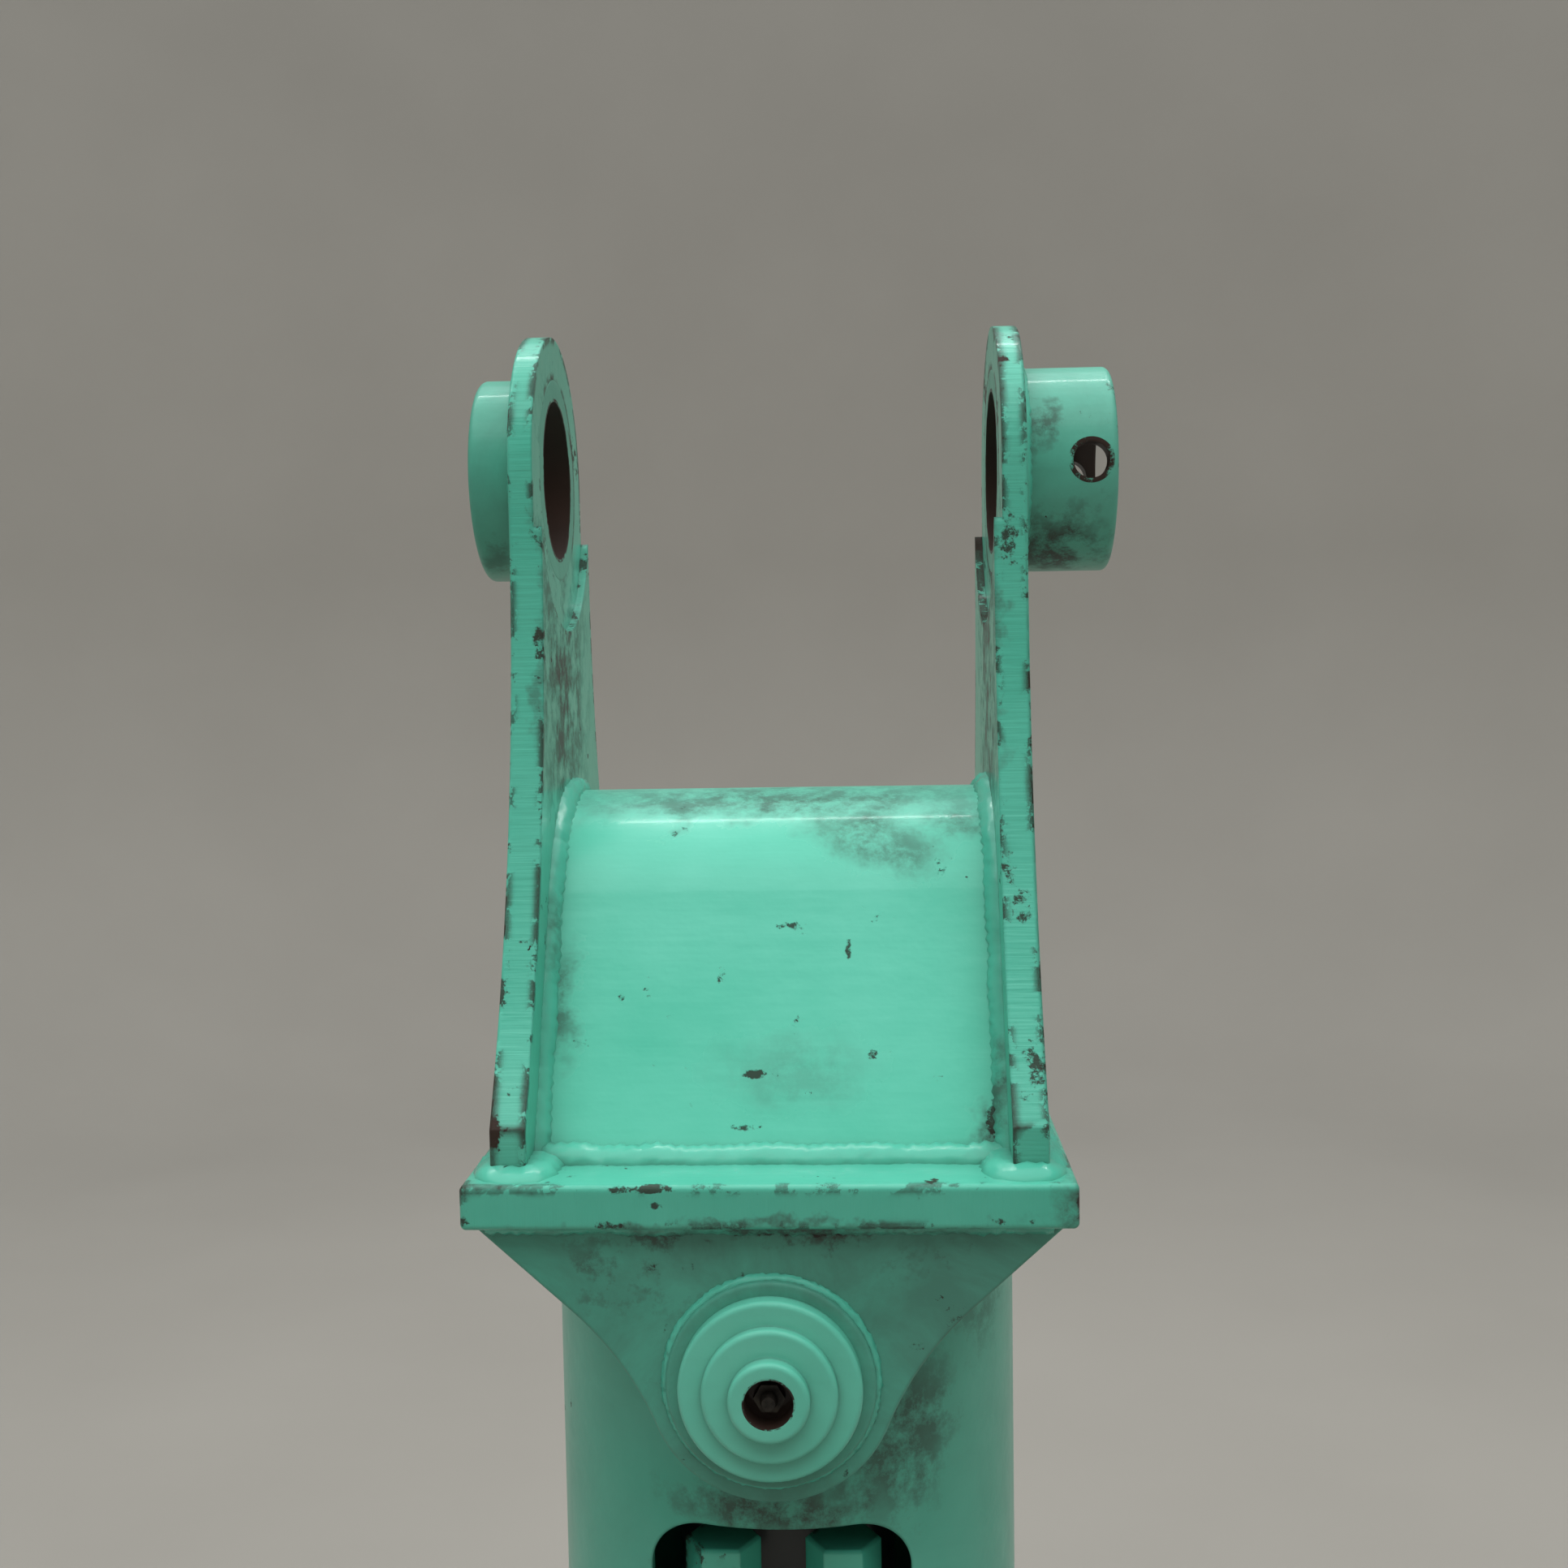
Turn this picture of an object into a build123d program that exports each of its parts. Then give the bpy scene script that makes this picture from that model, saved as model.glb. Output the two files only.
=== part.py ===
from build123d import *
import os
from math import acos, cos, pi, radians, sin, tan

# Hydraulic auger drive with the single-pin hitch that hangs it from an excavator's dipper stick.
# Millimetres. The origin is the middle of the stick pin bore's axis, halfway between the two ears.
# X runs along that bore, Y along the pivot pin that the drive swings on, and Z points up.

os.makedirs("parts", exist_ok=True)

# ------------------------------------------------------------------ driving dimensions

# Ears and stick pin bosses
stick_bore_radius = 30.0
boss_radius = 38.2
boss_edge_radius = 2.5
left_boss_projection = 18.0
right_boss_projection = 34.5
retaining_hole_radius = 6.5
retaining_hole_inset = 10.0
ear_gap = 161.0
ear_thickness = 12.0
ear_eye_radius = 54.0
ear_flare_start = 20.0
ear_foot_half_depth = 116.0
ear_foot_height = 16.0
ear_wear_radius = 58.0
ear_wear_depth = 3.0
plate_edge_radius = 1.0

# Base plate, with the saddle on top of it and the lugs underneath
base_drop = 240.0
base_width = 202.0
base_depth = 252.0
base_thickness = 15.0
base_edge_radius = 2.0
saddle_crest_drop = 120.0
saddle_crest_radius = 60.0
saddle_leg_angle = 63.5
saddle_thickness = 10.0
lug_recess = 7.0
lug_thickness = 12.0
lug_top_half_width = 98.5
lug_taper_half_width = 66.0
lug_taper_rise = 23.5
lug_eye_radius = 41.6
lug_blend_angle = 25.0
lug_ring_radius = 34.8
lug_ring_height = 4.0

# Pivot pin, which the drive swings on
pivot_drop = 53.0
pin_radius = 20.0
pin_head_radii = (30.4, 22.4, 13.4)
pin_head_heights = (6.0, 4.0, 5.0)
pin_head_edge_radius = 1.5
nipple_recess_radius = 8.0
nipple_recess_depth = 8.0
nipple_hex_flats = 9.0
nipple_tip_radius = 3.0
end_plate_thickness = 8.0
end_plate_bolt_offset = 11.0
running_clearance = 0.05

# Hood, the tube round the motor
hood_radius = 88.9
hood_wall = 6.3
hood_length = 195.0
hood_cap_thickness = 6.0
hood_cap_chamfer = 4.0
window_half_width = 46.5
window_corner_radius = 20.0
window_top_drop = 66.0
window_height = 88.0
cross_tube_wall = 5.4
cross_tube_end_gap = 0.5
cross_tube_cap_gap = 0.5
bush_wall = 3.05
bush_length = 50.0

# Motor
motor_width = 82.0
motor_depth = 80.0
motor_body_height = 95.0
motor_corner_radius = 12.0
motor_flange_half_length = 66.0
motor_flange_thickness = 14.0
motor_bolt_offset = 53.2
motor_pilot_radius = 41.25
motor_pilot_height = 6.0
motor_shaft_radius = 12.5
motor_shaft_bore_depth = 36.0
gerotor_radius = 42.0
gerotor_thickness = 22.0
end_cover_thickness = 18.0
cover_bolt_circle = 34.0
cover_bolt_count = 7
port_height = 50.0
port_spacing = 44.0
port_reach = 22.0
elbow_radius = 9.5
elbow_bore_radius = 5.0
elbow_bend_radius = 12.0
elbow_rise = 46.0
elbow_nut_flats = 24.0
elbow_nut_height = 9.0
cap_flats = 24.0
cap_height = 24.0
cap_top_thickness = 4.5

# Reduction gear: sun on the motor shaft, three planets, fixed ring
gear_module = 2.5
pressure_angle = radians(20)
sun_teeth = 15
planet_teeth = 24
ring_teeth = 63
planet_count = 3
gear_face = 30.0
tooth_thinning = 0.10
flank_steps = 4
planet_pin_radius = 8.0
planet_bush_wall = 3.0
planet_washer_radius = 13.0
planet_washer_thickness = 2.0

# Gearbox casings
rim_chamfer = 1.0
hood_flange_thickness = 16.0
motor_plate_thickness = 18.0
ring_housing_height = 52.0
bearing_flange_thickness = 16.0
tie_bolt_count = 8
tie_bolt_to_hood = 11.1
tie_bolt_to_teeth = 12.0
tie_bolt_to_rim = 11.0
gear_top_clearance = 6.0
carrier_rim = 11.25
carrier_clearance = 0.5
carrier_thickness = 15.0

# Output shaft and its bearings: (cup radius, bore radius, height, roller circle, roller radius)
upper_bearing = (52.0, 30.0, 24.0, 41.0, 5.0)
lower_bearing = (60.0, 35.0, 30.0, 47.0, 6.0)
roller_tilt = radians(12)
roller_count = 16
roller_end_gap = 3.5
locknut_radius = 40.0
locknut_height = 12.0
bearing_spacing = 24.0
bearing_neck_radius = 76.0
neck_root_radius = 6.0
bearing_shoulder = 6.0
seal_cover_thickness = 12.0
seal_radius = 50.0
seal_land_radius = 38.0
seal_cover_bolt_circle = 68.0
seal_cover_bolt_count = 6
seal_cover_spigot = 4.0
output_radius = 32.5
output_length = 110.0
output_chamfer = 3.0
output_hole_radius = 10.0
output_hole_from_end = 50.0

# Fasteners: (across flats, head height, shank radius)
m8_bolt = (13.0, 5.3, 4.0)
m10_bolt = (17.0, 6.4, 5.0)
m12_bolt = (19.0, 7.5, 6.0)
bolt_hole_clearance = 0.5
head_chamfer = 1.0

# ------------------------------------------------------------------ levels and faces worked out

ear_inner_x = ear_gap / 2
ear_outer_x = ear_inner_x + ear_thickness
base_top_z = -base_drop
base_bottom_z = base_top_z - base_thickness
pivot_z = base_bottom_z - pivot_drop
lug_outer_y = base_depth / 2 - lug_recess
lug_inner_y = lug_outer_y - lug_thickness
ring_face_y = lug_outer_y + lug_ring_height

bush_outer_radius = pin_radius + running_clearance + bush_wall
cross_tube_radius = bush_outer_radius + cross_tube_wall
hood_top_z = pivot_z + cross_tube_radius + cross_tube_cap_gap
hood_bottom_z = hood_top_z - hood_length
motor_face_z = hood_bottom_z - hood_flange_thickness
ring_top_z = motor_face_z - motor_plate_thickness
ring_bottom_z = ring_top_z - ring_housing_height
gear_top_z = ring_top_z - gear_top_clearance
gear_bottom_z = gear_top_z - gear_face
carrier_top_z = gear_bottom_z - carrier_clearance
carrier_bottom_z = carrier_top_z - carrier_thickness
locknut_top_z = ring_bottom_z - 2.0
upper_bearing_z = locknut_top_z - locknut_height
shoulder_top_z = upper_bearing_z - upper_bearing[2]
shoulder_bottom_z = shoulder_top_z - bearing_spacing
lower_bearing_end_z = shoulder_bottom_z - lower_bearing[2]
neck_bottom_z = lower_bearing_end_z - seal_cover_spigot
seal_cover_bottom_z = neck_bottom_z - seal_cover_thickness
output_top_z = seal_cover_bottom_z - 4.0
output_end_z = output_top_z - output_length

sun_pitch_radius = gear_module * sun_teeth / 2
planet_pitch_radius = gear_module * planet_teeth / 2
ring_pitch_radius = gear_module * ring_teeth / 2
addendum = gear_module
dedendum = 1.25 * gear_module
planet_circle = sun_pitch_radius + planet_pitch_radius
carrier_radius = planet_circle + planet_pin_radius + carrier_rim
tie_bolt_circle = max(hood_radius + tie_bolt_to_hood, ring_pitch_radius + dedendum + tie_bolt_to_teeth)
casing_radius = tie_bolt_circle + tie_bolt_to_rim


# ------------------------------------------------------------------ helpers

def hex_heads(bolt, locations, plane, shank_length):
    """Hexagon bolts standing on a plane: heads with chamfered tops above it, shanks below it."""
    flats, head_height, shank_radius = bolt
    straight_height = head_height - head_chamfer
    for level, height, taper in ((0, straight_height, 0), (straight_height, head_chamfer, 45)):
        with BuildSketch(plane.offset(level)) as heads:
            with locations():
                RegularPolygon(flats / 2, 6, major_radius=False)
        extrude(heads.sketch, amount=height, taper=taper)
    with BuildSketch(plane) as shanks:
        with locations():
            Circle(shank_radius)
    extrude(shanks.sketch, amount=-shank_length)


def involute(angle):
    return tan(angle) - angle


def gear_outline(teeth, inner_radius, outer_radius, widening, phase):
    """Corner points of a spur gear's outline, each flank an involute in a few steps."""
    pitch_radius = gear_module * teeth / 2
    base_radius = pitch_radius * cos(pressure_angle)
    start_radius = max(base_radius, inner_radius)
    radii = [start_radius + (outer_radius - start_radius) * step / flank_steps
             for step in range(flank_steps + 1)]
    if inner_radius < start_radius:
        radii.insert(0, inner_radius)

    def half_angle(radius):
        flank = involute(acos(base_radius / max(radius, base_radius)))
        return pi / (2 * teeth) + widening / (2 * pitch_radius) + involute(pressure_angle) - flank

    points = []
    for tooth in range(teeth):
        centre = phase + 2 * pi * tooth / teeth
        rising = [(radius, centre - half_angle(radius)) for radius in radii]
        falling = [(radius, centre + half_angle(radius)) for radius in reversed(radii)]
        points += [(radius * cos(angle), radius * sin(angle)) for radius, angle in rising + falling]
    return points


def gear_face_sketch(teeth, inner_radius, outer_radius, widening, phase):
    """The face inside a gear outline, drawn in the sketch that calls it."""
    with BuildLine() as outline:
        Polyline(*gear_outline(teeth, inner_radius, outer_radius, widening, phase), close=True)
    make_face(outline.edges())


def outer_rims(builder):
    """The round edges at the casing's full radius."""
    return builder.edges().filter_by(GeomType.CIRCLE).filter_by(
        lambda edge: abs(edge.radius - casing_radius) < 0.01)


def save(part, name):
    """Label a finished piece and write its STEP file."""
    part.label = name
    export_step(part, f"parts/{name}.step")


# ------------------------------------------------------------------ hitch: ears and bosses

def ear_plate(side, name):
    """Ear with an eye at the top and a foot that flares out onto the base plate."""
    inner_face = Plane(origin=(side * ear_inner_x, 0, 0), x_dir=(0, 1, 0), z_dir=(1, 0, 0))
    foot_top = base_top_z + ear_foot_height
    with BuildPart() as ear:
        with BuildSketch(inner_face):
            with BuildLine():
                RadiusArc((-ear_eye_radius, 0), (ear_eye_radius, 0), ear_eye_radius)
                Line((ear_eye_radius, 0), (ear_eye_radius, -ear_flare_start))
                TangentArc((ear_eye_radius, -ear_flare_start), (ear_foot_half_depth, foot_top),
                           tangent=(0, -1))
                Polyline((ear_foot_half_depth, foot_top), (ear_foot_half_depth, base_top_z),
                         (-ear_foot_half_depth, base_top_z), (-ear_foot_half_depth, foot_top))
                TangentArc((-ear_eye_radius, -ear_flare_start), (-ear_foot_half_depth, foot_top),
                           tangent=(0, -1))
                Line((-ear_eye_radius, -ear_flare_start), (-ear_eye_radius, 0))
            make_face()
        extrude(amount=side * ear_thickness)
        outer_face = ear.faces().sort_by(Axis.X)[-1 if side > 0 else 0]
        fillet(outer_face.edges().filter_by(lambda edge: edge.center().Z > base_top_z + 1), plate_edge_radius)
        with BuildSketch(inner_face):
            Circle(ear_wear_radius)
        extrude(amount=side * ear_wear_depth, mode=Mode.SUBTRACT)
        with BuildSketch(inner_face):
            Circle(boss_radius)
        extrude(amount=side * ear_thickness, mode=Mode.SUBTRACT)
    save(ear.part, name)


def pin_boss(side, projection, name, retaining_hole=False):
    """Boss welded through the ear, bored for the stick pin."""
    start_x = side * (ear_inner_x + ear_wear_depth)
    end_x = side * (ear_outer_x + projection)
    with BuildPart() as boss:
        with BuildSketch(Plane.YZ.offset(start_x)):
            Circle(boss_radius)
            Circle(stick_bore_radius, mode=Mode.SUBTRACT)
        extrude(amount=end_x - start_x)
        outer_rim = boss.faces().sort_by(Axis.X)[-1 if side > 0 else 0].edges().sort_by(SortBy.RADIUS)[-1]
        fillet(outer_rim, boss_edge_radius)
        if retaining_hole:
            with BuildSketch(Plane.XZ):
                with Locations((end_x - side * retaining_hole_inset, 0)):
                    Circle(retaining_hole_radius)
            extrude(amount=boss_radius, both=True, mode=Mode.SUBTRACT)
    save(boss.part, name)


ear_plate(-1, "ear_plate_left")
ear_plate(1, "ear_plate_right")
pin_boss(-1, left_boss_projection, "pin_boss_left")
pin_boss(1, right_boss_projection, "pin_boss_right", retaining_hole=True)

# ------------------------------------------------------------------ hitch: saddle and base


def saddle_outline(radius):
    """Half-round crest with straight legs that spread down to the base plate."""
    leg = radians(saddle_leg_angle)
    centre_z = -saddle_crest_drop - saddle_crest_radius
    bend = (radius * sin(leg), centre_z + radius * cos(leg))
    foot = (radius / sin(leg) + (centre_z - base_top_z) / tan(leg), base_top_z)
    with BuildLine() as outline:
        Line((-foot[0], foot[1]), (-bend[0], bend[1]))
        ThreePointArc((-bend[0], bend[1]), (0, centre_z + radius), bend)
        Line(bend, foot)
        Line(foot, (-foot[0], foot[1]))
    make_face(outline.edges())


with BuildPart() as saddle:
    with BuildSketch(Plane.YZ.offset(-ear_inner_x)):
        saddle_outline(saddle_crest_radius)
    extrude(amount=ear_gap)
    with BuildSketch(Plane.YZ.offset(-ear_inner_x)):
        saddle_outline(saddle_crest_radius - saddle_thickness)
    extrude(amount=ear_gap, mode=Mode.SUBTRACT)
save(saddle.part, "saddle_plate")

with BuildPart() as base:
    with BuildSketch(Plane.XY.offset(base_bottom_z)):
        Rectangle(base_width, base_depth)
    extrude(amount=base_thickness)
    fillet(base.edges(), base_edge_radius)
save(base.part, "base_plate")

# ------------------------------------------------------------------ hitch: lugs and pivot pin


def lug_plate(side, name):
    """Funnel-shaped lug under the base plate, side -1 at the front and +1 at the rear."""
    blend = radians(lug_blend_angle)
    shoulder = (lug_taper_half_width, pivot_z + lug_taper_rise)
    joint = (lug_eye_radius * cos(blend), pivot_z - lug_eye_radius * sin(blend))
    top = (lug_top_half_width, base_bottom_z)
    taper_out = (shoulder[0] - top[0], shoulder[1] - top[1])
    taper_in = (-taper_out[0], taper_out[1])
    with BuildPart() as lug:
        with BuildSketch(Plane.XZ.offset(-side * lug_inner_y)):
            with BuildLine():
                Line((-top[0], top[1]), top)
                Line(top, shoulder)
                TangentArc(shoulder, joint, tangent=taper_out)
                ThreePointArc(joint, (0, pivot_z - lug_eye_radius), (-joint[0], joint[1]))
                TangentArc((-shoulder[0], shoulder[1]), (-joint[0], joint[1]), tangent=taper_in)
                Line((-shoulder[0], shoulder[1]), (-top[0], top[1]))
            make_face()
            with Locations((0, pivot_z)):
                Circle(pin_radius + running_clearance, mode=Mode.SUBTRACT)
        extrude(amount=-side * lug_thickness)
        outer_face = lug.faces().sort_by(Axis.Y)[0 if side < 0 else -1]
        outline_edges = outer_face.outer_wire().edges()
        fillet(outline_edges.filter_by(lambda edge: edge.center().Z < base_bottom_z - 1), plate_edge_radius)
    save(lug.part, name)


def lug_ring(side, name):
    """Ring welded round the pin hole on the lug's outer face."""
    with BuildPart() as ring:
        with BuildSketch(Plane.XZ.offset(-side * lug_outer_y)):
            with Locations((0, pivot_z)):
                Circle(lug_ring_radius)
                Circle(pin_radius + running_clearance, mode=Mode.SUBTRACT)
        extrude(amount=-side * lug_ring_height)
        outer_rim = ring.faces().sort_by(Axis.Y)[0 if side < 0 else -1].edges().sort_by(SortBy.RADIUS)[-1]
        fillet(outer_rim, plate_edge_radius)
    save(ring.part, name)


lug_plate(-1, "lug_plate_front")
lug_plate(1, "lug_plate_rear")
lug_ring(-1, "lug_ring_front")
lug_ring(1, "lug_ring_rear")

head_faces = [-ring_face_y]
for height in pin_head_heights:
    head_faces.append(head_faces[-1] - height)
pin_front_y = head_faces[-1]
nipple_seat_y = pin_front_y + nipple_recess_depth
end_plate_bolts_at = [(-end_plate_bolt_offset, pivot_z), (end_plate_bolt_offset, pivot_z)]

with BuildPart() as pivot_pin:
    with BuildSketch(Plane.XZ.offset(-ring_face_y)):
        with Locations((0, pivot_z)):
            Circle(pin_radius)
    extrude(amount=2 * ring_face_y)
    for radius, height, face_y in zip(pin_head_radii, pin_head_heights, head_faces):
        with BuildSketch(Plane.XZ.offset(-face_y)):
            with Locations((0, pivot_z)):
                Circle(radius)
        extrude(amount=height)
    head_rims = pivot_pin.edges().filter_by(GeomType.CIRCLE).filter_by(
        lambda edge: any(abs(edge.radius - radius) < 0.01 and abs(edge.center().Y - face_y) < 0.01
                         for radius, face_y in zip(pin_head_radii, head_faces[1:])))
    fillet(head_rims, pin_head_edge_radius)
    with BuildSketch(Plane.XZ.offset(-nipple_seat_y)):
        with Locations((0, pivot_z)):
            Circle(nipple_recess_radius)
    extrude(amount=nipple_recess_depth, mode=Mode.SUBTRACT)
    with BuildSketch(Plane.XZ.offset(-ring_face_y)):
        with Locations(*end_plate_bolts_at):
            Circle(m10_bolt[2])
    extrude(amount=2.5 * m10_bolt[0], mode=Mode.SUBTRACT)
save(pivot_pin.part, "pivot_pin")

with BuildPart() as nipple:
    with BuildSketch(Plane.XZ.offset(-nipple_seat_y)):
        with Locations((0, pivot_z)):
            RegularPolygon(nipple_hex_flats / 2, 6, major_radius=False)
    extrude(amount=3)
    with BuildSketch(Plane.XZ.offset(-nipple_seat_y + 3)):
        with Locations((0, pivot_z)):
            Circle(nipple_tip_radius * 0.75)
    extrude(amount=1.5)
    with BuildSketch(Plane.XZ.offset(-nipple_seat_y + 4.5)):
        with Locations((0, pivot_z)):
            Circle(nipple_tip_radius)
    extrude(amount=3, taper=15)
save(nipple.part, "pivot_grease_nipple")

with BuildPart() as end_plate:
    with BuildSketch(Plane.XZ.offset(-ring_face_y)):
        with Locations((0, pivot_z)):
            Circle(pin_head_radii[0])
        with Locations(*end_plate_bolts_at):
            Circle(m10_bolt[2] + bolt_hole_clearance, mode=Mode.SUBTRACT)
    extrude(amount=-end_plate_thickness)
save(end_plate.part, "pin_end_plate")

with BuildPart() as end_plate_bolts:
    outer_face = Plane(origin=(0, ring_face_y + end_plate_thickness, pivot_z), x_dir=(1, 0, 0),
                       z_dir=(0, 1, 0))
    hex_heads(m10_bolt, lambda: Locations((-end_plate_bolt_offset, 0), (end_plate_bolt_offset, 0)),
              outer_face, end_plate_thickness + 2 * m10_bolt[0])
save(end_plate_bolts.part, "end_plate_bolts")

# ------------------------------------------------------------------ drive: hood and pivot tube

cross_tube_half_length = lug_inner_y - cross_tube_end_gap


def pivot_circle(radius, half_length, mode=Mode.ADD):
    """A round bar of the given radius along the pivot axis, added to or cut from a part."""
    with BuildSketch(Plane.XZ) as section:
        with Locations((0, pivot_z)):
            Circle(radius)
    extrude(section.sketch, amount=half_length, both=True, mode=mode)


with BuildPart() as hood:
    with BuildSketch(Plane.XY.offset(hood_bottom_z)):
        Circle(hood_radius)
        Circle(hood_radius - hood_wall, mode=Mode.SUBTRACT)
    extrude(amount=hood_length)
    pivot_circle(cross_tube_radius, hood_radius, mode=Mode.SUBTRACT)
    with BuildSketch(Plane.XZ):
        with Locations((0, pivot_z - window_top_drop - window_height / 2)):
            RectangleRounded(2 * window_half_width, window_height, window_corner_radius)
    extrude(amount=hood_radius, mode=Mode.SUBTRACT)
save(hood.part, "hood_tube")

with BuildPart() as hood_cap:
    with BuildSketch(Plane.XY.offset(hood_top_z)):
        Circle(hood_radius)
    extrude(amount=hood_cap_thickness)
    chamfer(hood_cap.faces().sort_by(Axis.Z)[-1].edges(), hood_cap_chamfer)
save(hood_cap.part, "hood_cap")

with BuildPart() as cross_tube:
    pivot_circle(cross_tube_radius, cross_tube_half_length)
    pivot_circle(bush_outer_radius, cross_tube_half_length, mode=Mode.SUBTRACT)
save(cross_tube.part, "pivot_cross_tube")

with BuildPart() as pivot_bushes:
    for side in (-1, 1):
        with BuildSketch(Plane.XZ.offset(side * cross_tube_half_length)):
            with Locations((0, pivot_z)):
                Circle(bush_outer_radius)
                Circle(pin_radius + running_clearance, mode=Mode.SUBTRACT)
        extrude(amount=-side * bush_length)
save(pivot_bushes.part, "pivot_bushes")


def tie_bolt_holes():
    """Clearance holes for the long bolts, cut in the sketch that calls it."""
    with PolarLocations(tie_bolt_circle, tie_bolt_count):
        Circle(m10_bolt[2] + bolt_hole_clearance, mode=Mode.SUBTRACT)


with BuildPart() as hood_flange:
    with BuildSketch(Plane.XY.offset(motor_face_z)):
        Circle(casing_radius)
        Circle(hood_radius - hood_wall, mode=Mode.SUBTRACT)
        tie_bolt_holes()
    extrude(amount=hood_flange_thickness)
    chamfer(outer_rims(hood_flange), rim_chamfer)
save(hood_flange.part, "hood_flange")

# ------------------------------------------------------------------ drive: motor

motor_bolts_at = [(-motor_bolt_offset, 0), (motor_bolt_offset, 0)]
body_top_z = motor_face_z + motor_body_height
gerotor_top_z = body_top_z + gerotor_thickness
cover_top_z = gerotor_top_z + end_cover_thickness
port_z = motor_face_z + port_height
cover_bolt_grip = gerotor_thickness + end_cover_thickness

with BuildPart() as motor_body:
    with BuildSketch(Plane.XY.offset(motor_face_z)):
        RectangleRounded(motor_width, motor_depth, motor_corner_radius)
    extrude(amount=motor_body_height)
    with BuildSketch(Plane.XY.offset(motor_face_z)):
        SlotOverall(2 * motor_flange_half_length, 2 * (motor_flange_half_length - motor_bolt_offset))
        Circle(motor_pilot_radius)
        with Locations(*motor_bolts_at):
            Circle(m12_bolt[2] + bolt_hole_clearance, mode=Mode.SUBTRACT)
    extrude(amount=motor_flange_thickness)
    with BuildSketch(Plane.XY.offset(motor_face_z)):
        Circle(motor_pilot_radius)
    extrude(amount=-motor_pilot_height)
    with BuildSketch(Plane.XY.offset(motor_face_z - motor_pilot_height)):
        Circle(motor_shaft_radius + running_clearance)
    extrude(amount=motor_pilot_height + motor_shaft_bore_depth, mode=Mode.SUBTRACT)
    with BuildSketch(Plane.XY.offset(body_top_z)):
        with PolarLocations(cover_bolt_circle, cover_bolt_count):
            Circle(m8_bolt[2])
    extrude(amount=-2 * m8_bolt[0], mode=Mode.SUBTRACT)
    with BuildSketch(Plane.XZ.offset(motor_depth / 2)):
        with Locations((-port_spacing / 2, port_z), (port_spacing / 2, port_z)):
            Circle(elbow_bore_radius)
    extrude(amount=-motor_depth / 4, mode=Mode.SUBTRACT)
save(motor_body.part, "motor_housing")


def motor_disc(bottom_z, thickness, name):
    """Round section of the motor, drilled for the cover bolts."""
    with BuildPart() as disc:
        with BuildSketch(Plane.XY.offset(bottom_z)):
            Circle(gerotor_radius)
            with PolarLocations(cover_bolt_circle, cover_bolt_count):
                Circle(m8_bolt[2] + bolt_hole_clearance / 2, mode=Mode.SUBTRACT)
        extrude(amount=thickness)
        chamfer(disc.faces().sort_by(Axis.Z)[-1].edges().sort_by(SortBy.LENGTH)[-1], 1)
    save(disc.part, name)


motor_disc(body_top_z, gerotor_thickness, "motor_gerotor_section")
motor_disc(gerotor_top_z, end_cover_thickness, "motor_end_cover")

with BuildPart() as cover_bolts:
    hex_heads(m8_bolt, lambda: PolarLocations(cover_bolt_circle, cover_bolt_count),
              Plane.XY.offset(cover_top_z), cover_bolt_grip + 1.5 * m8_bolt[0])
save(cover_bolts.part, "motor_cover_bolts")

with BuildPart() as motor_bolts:
    hex_heads(m12_bolt, lambda: Locations(*motor_bolts_at),
              Plane.XY.offset(motor_face_z + motor_flange_thickness), motor_flange_thickness + 15)
save(motor_bolts.part, "motor_mount_bolts")

elbow_leg_y = -(motor_depth / 2 + port_reach)
elbow_end_z = port_z + elbow_rise


def elbow_tube(x, radius, mode=Mode.ADD):
    """Tube from the motor's port face forward, then up, added to or cut from the elbow."""
    with BuildLine(Plane.YZ.offset(x)) as path:
        FilletPolyline((-motor_depth / 2, port_z), (elbow_leg_y, port_z), (elbow_leg_y, elbow_end_z),
                       radius=elbow_bend_radius)
    mouth = Plane(origin=(x, -motor_depth / 2, port_z), x_dir=(1, 0, 0), z_dir=(0, -1, 0))
    with BuildSketch(mouth) as section:
        Circle(radius)
    sweep(section.sketch, path=path.wires()[0], mode=mode)


with BuildPart() as elbows:
    for x in (-port_spacing / 2, port_spacing / 2):
        elbow_tube(x, elbow_radius)
    with BuildSketch(Plane.XZ.offset(motor_depth / 2)):
        with Locations((-port_spacing / 2, port_z), (port_spacing / 2, port_z)):
            RegularPolygon(elbow_nut_flats / 2, 6, major_radius=False)
    extrude(amount=elbow_nut_height)
    for x in (-port_spacing / 2, port_spacing / 2):
        elbow_tube(x, elbow_bore_radius, mode=Mode.SUBTRACT)
save(elbows.part, "port_elbows")

cap_top_z = elbow_end_z + cap_top_thickness + running_clearance
port_caps_at = [(-port_spacing / 2, elbow_leg_y), (port_spacing / 2, elbow_leg_y)]
with BuildPart() as port_caps:
    with BuildSketch(Plane.XY.offset(cap_top_z)):
        with Locations(*port_caps_at):
            RegularPolygon(cap_flats / 2, 6, major_radius=False)
    extrude(amount=-cap_height)
    chamfer(port_caps.faces().group_by(Axis.Z)[-1].edges(), 1)
    with BuildSketch(Plane.XY.offset(cap_top_z - cap_height)):
        with Locations(*port_caps_at):
            Circle(elbow_radius)
    extrude(amount=cap_height - cap_top_thickness, mode=Mode.SUBTRACT)
save(port_caps.part, "port_caps")

# ------------------------------------------------------------------ drive: gearbox casings

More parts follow.
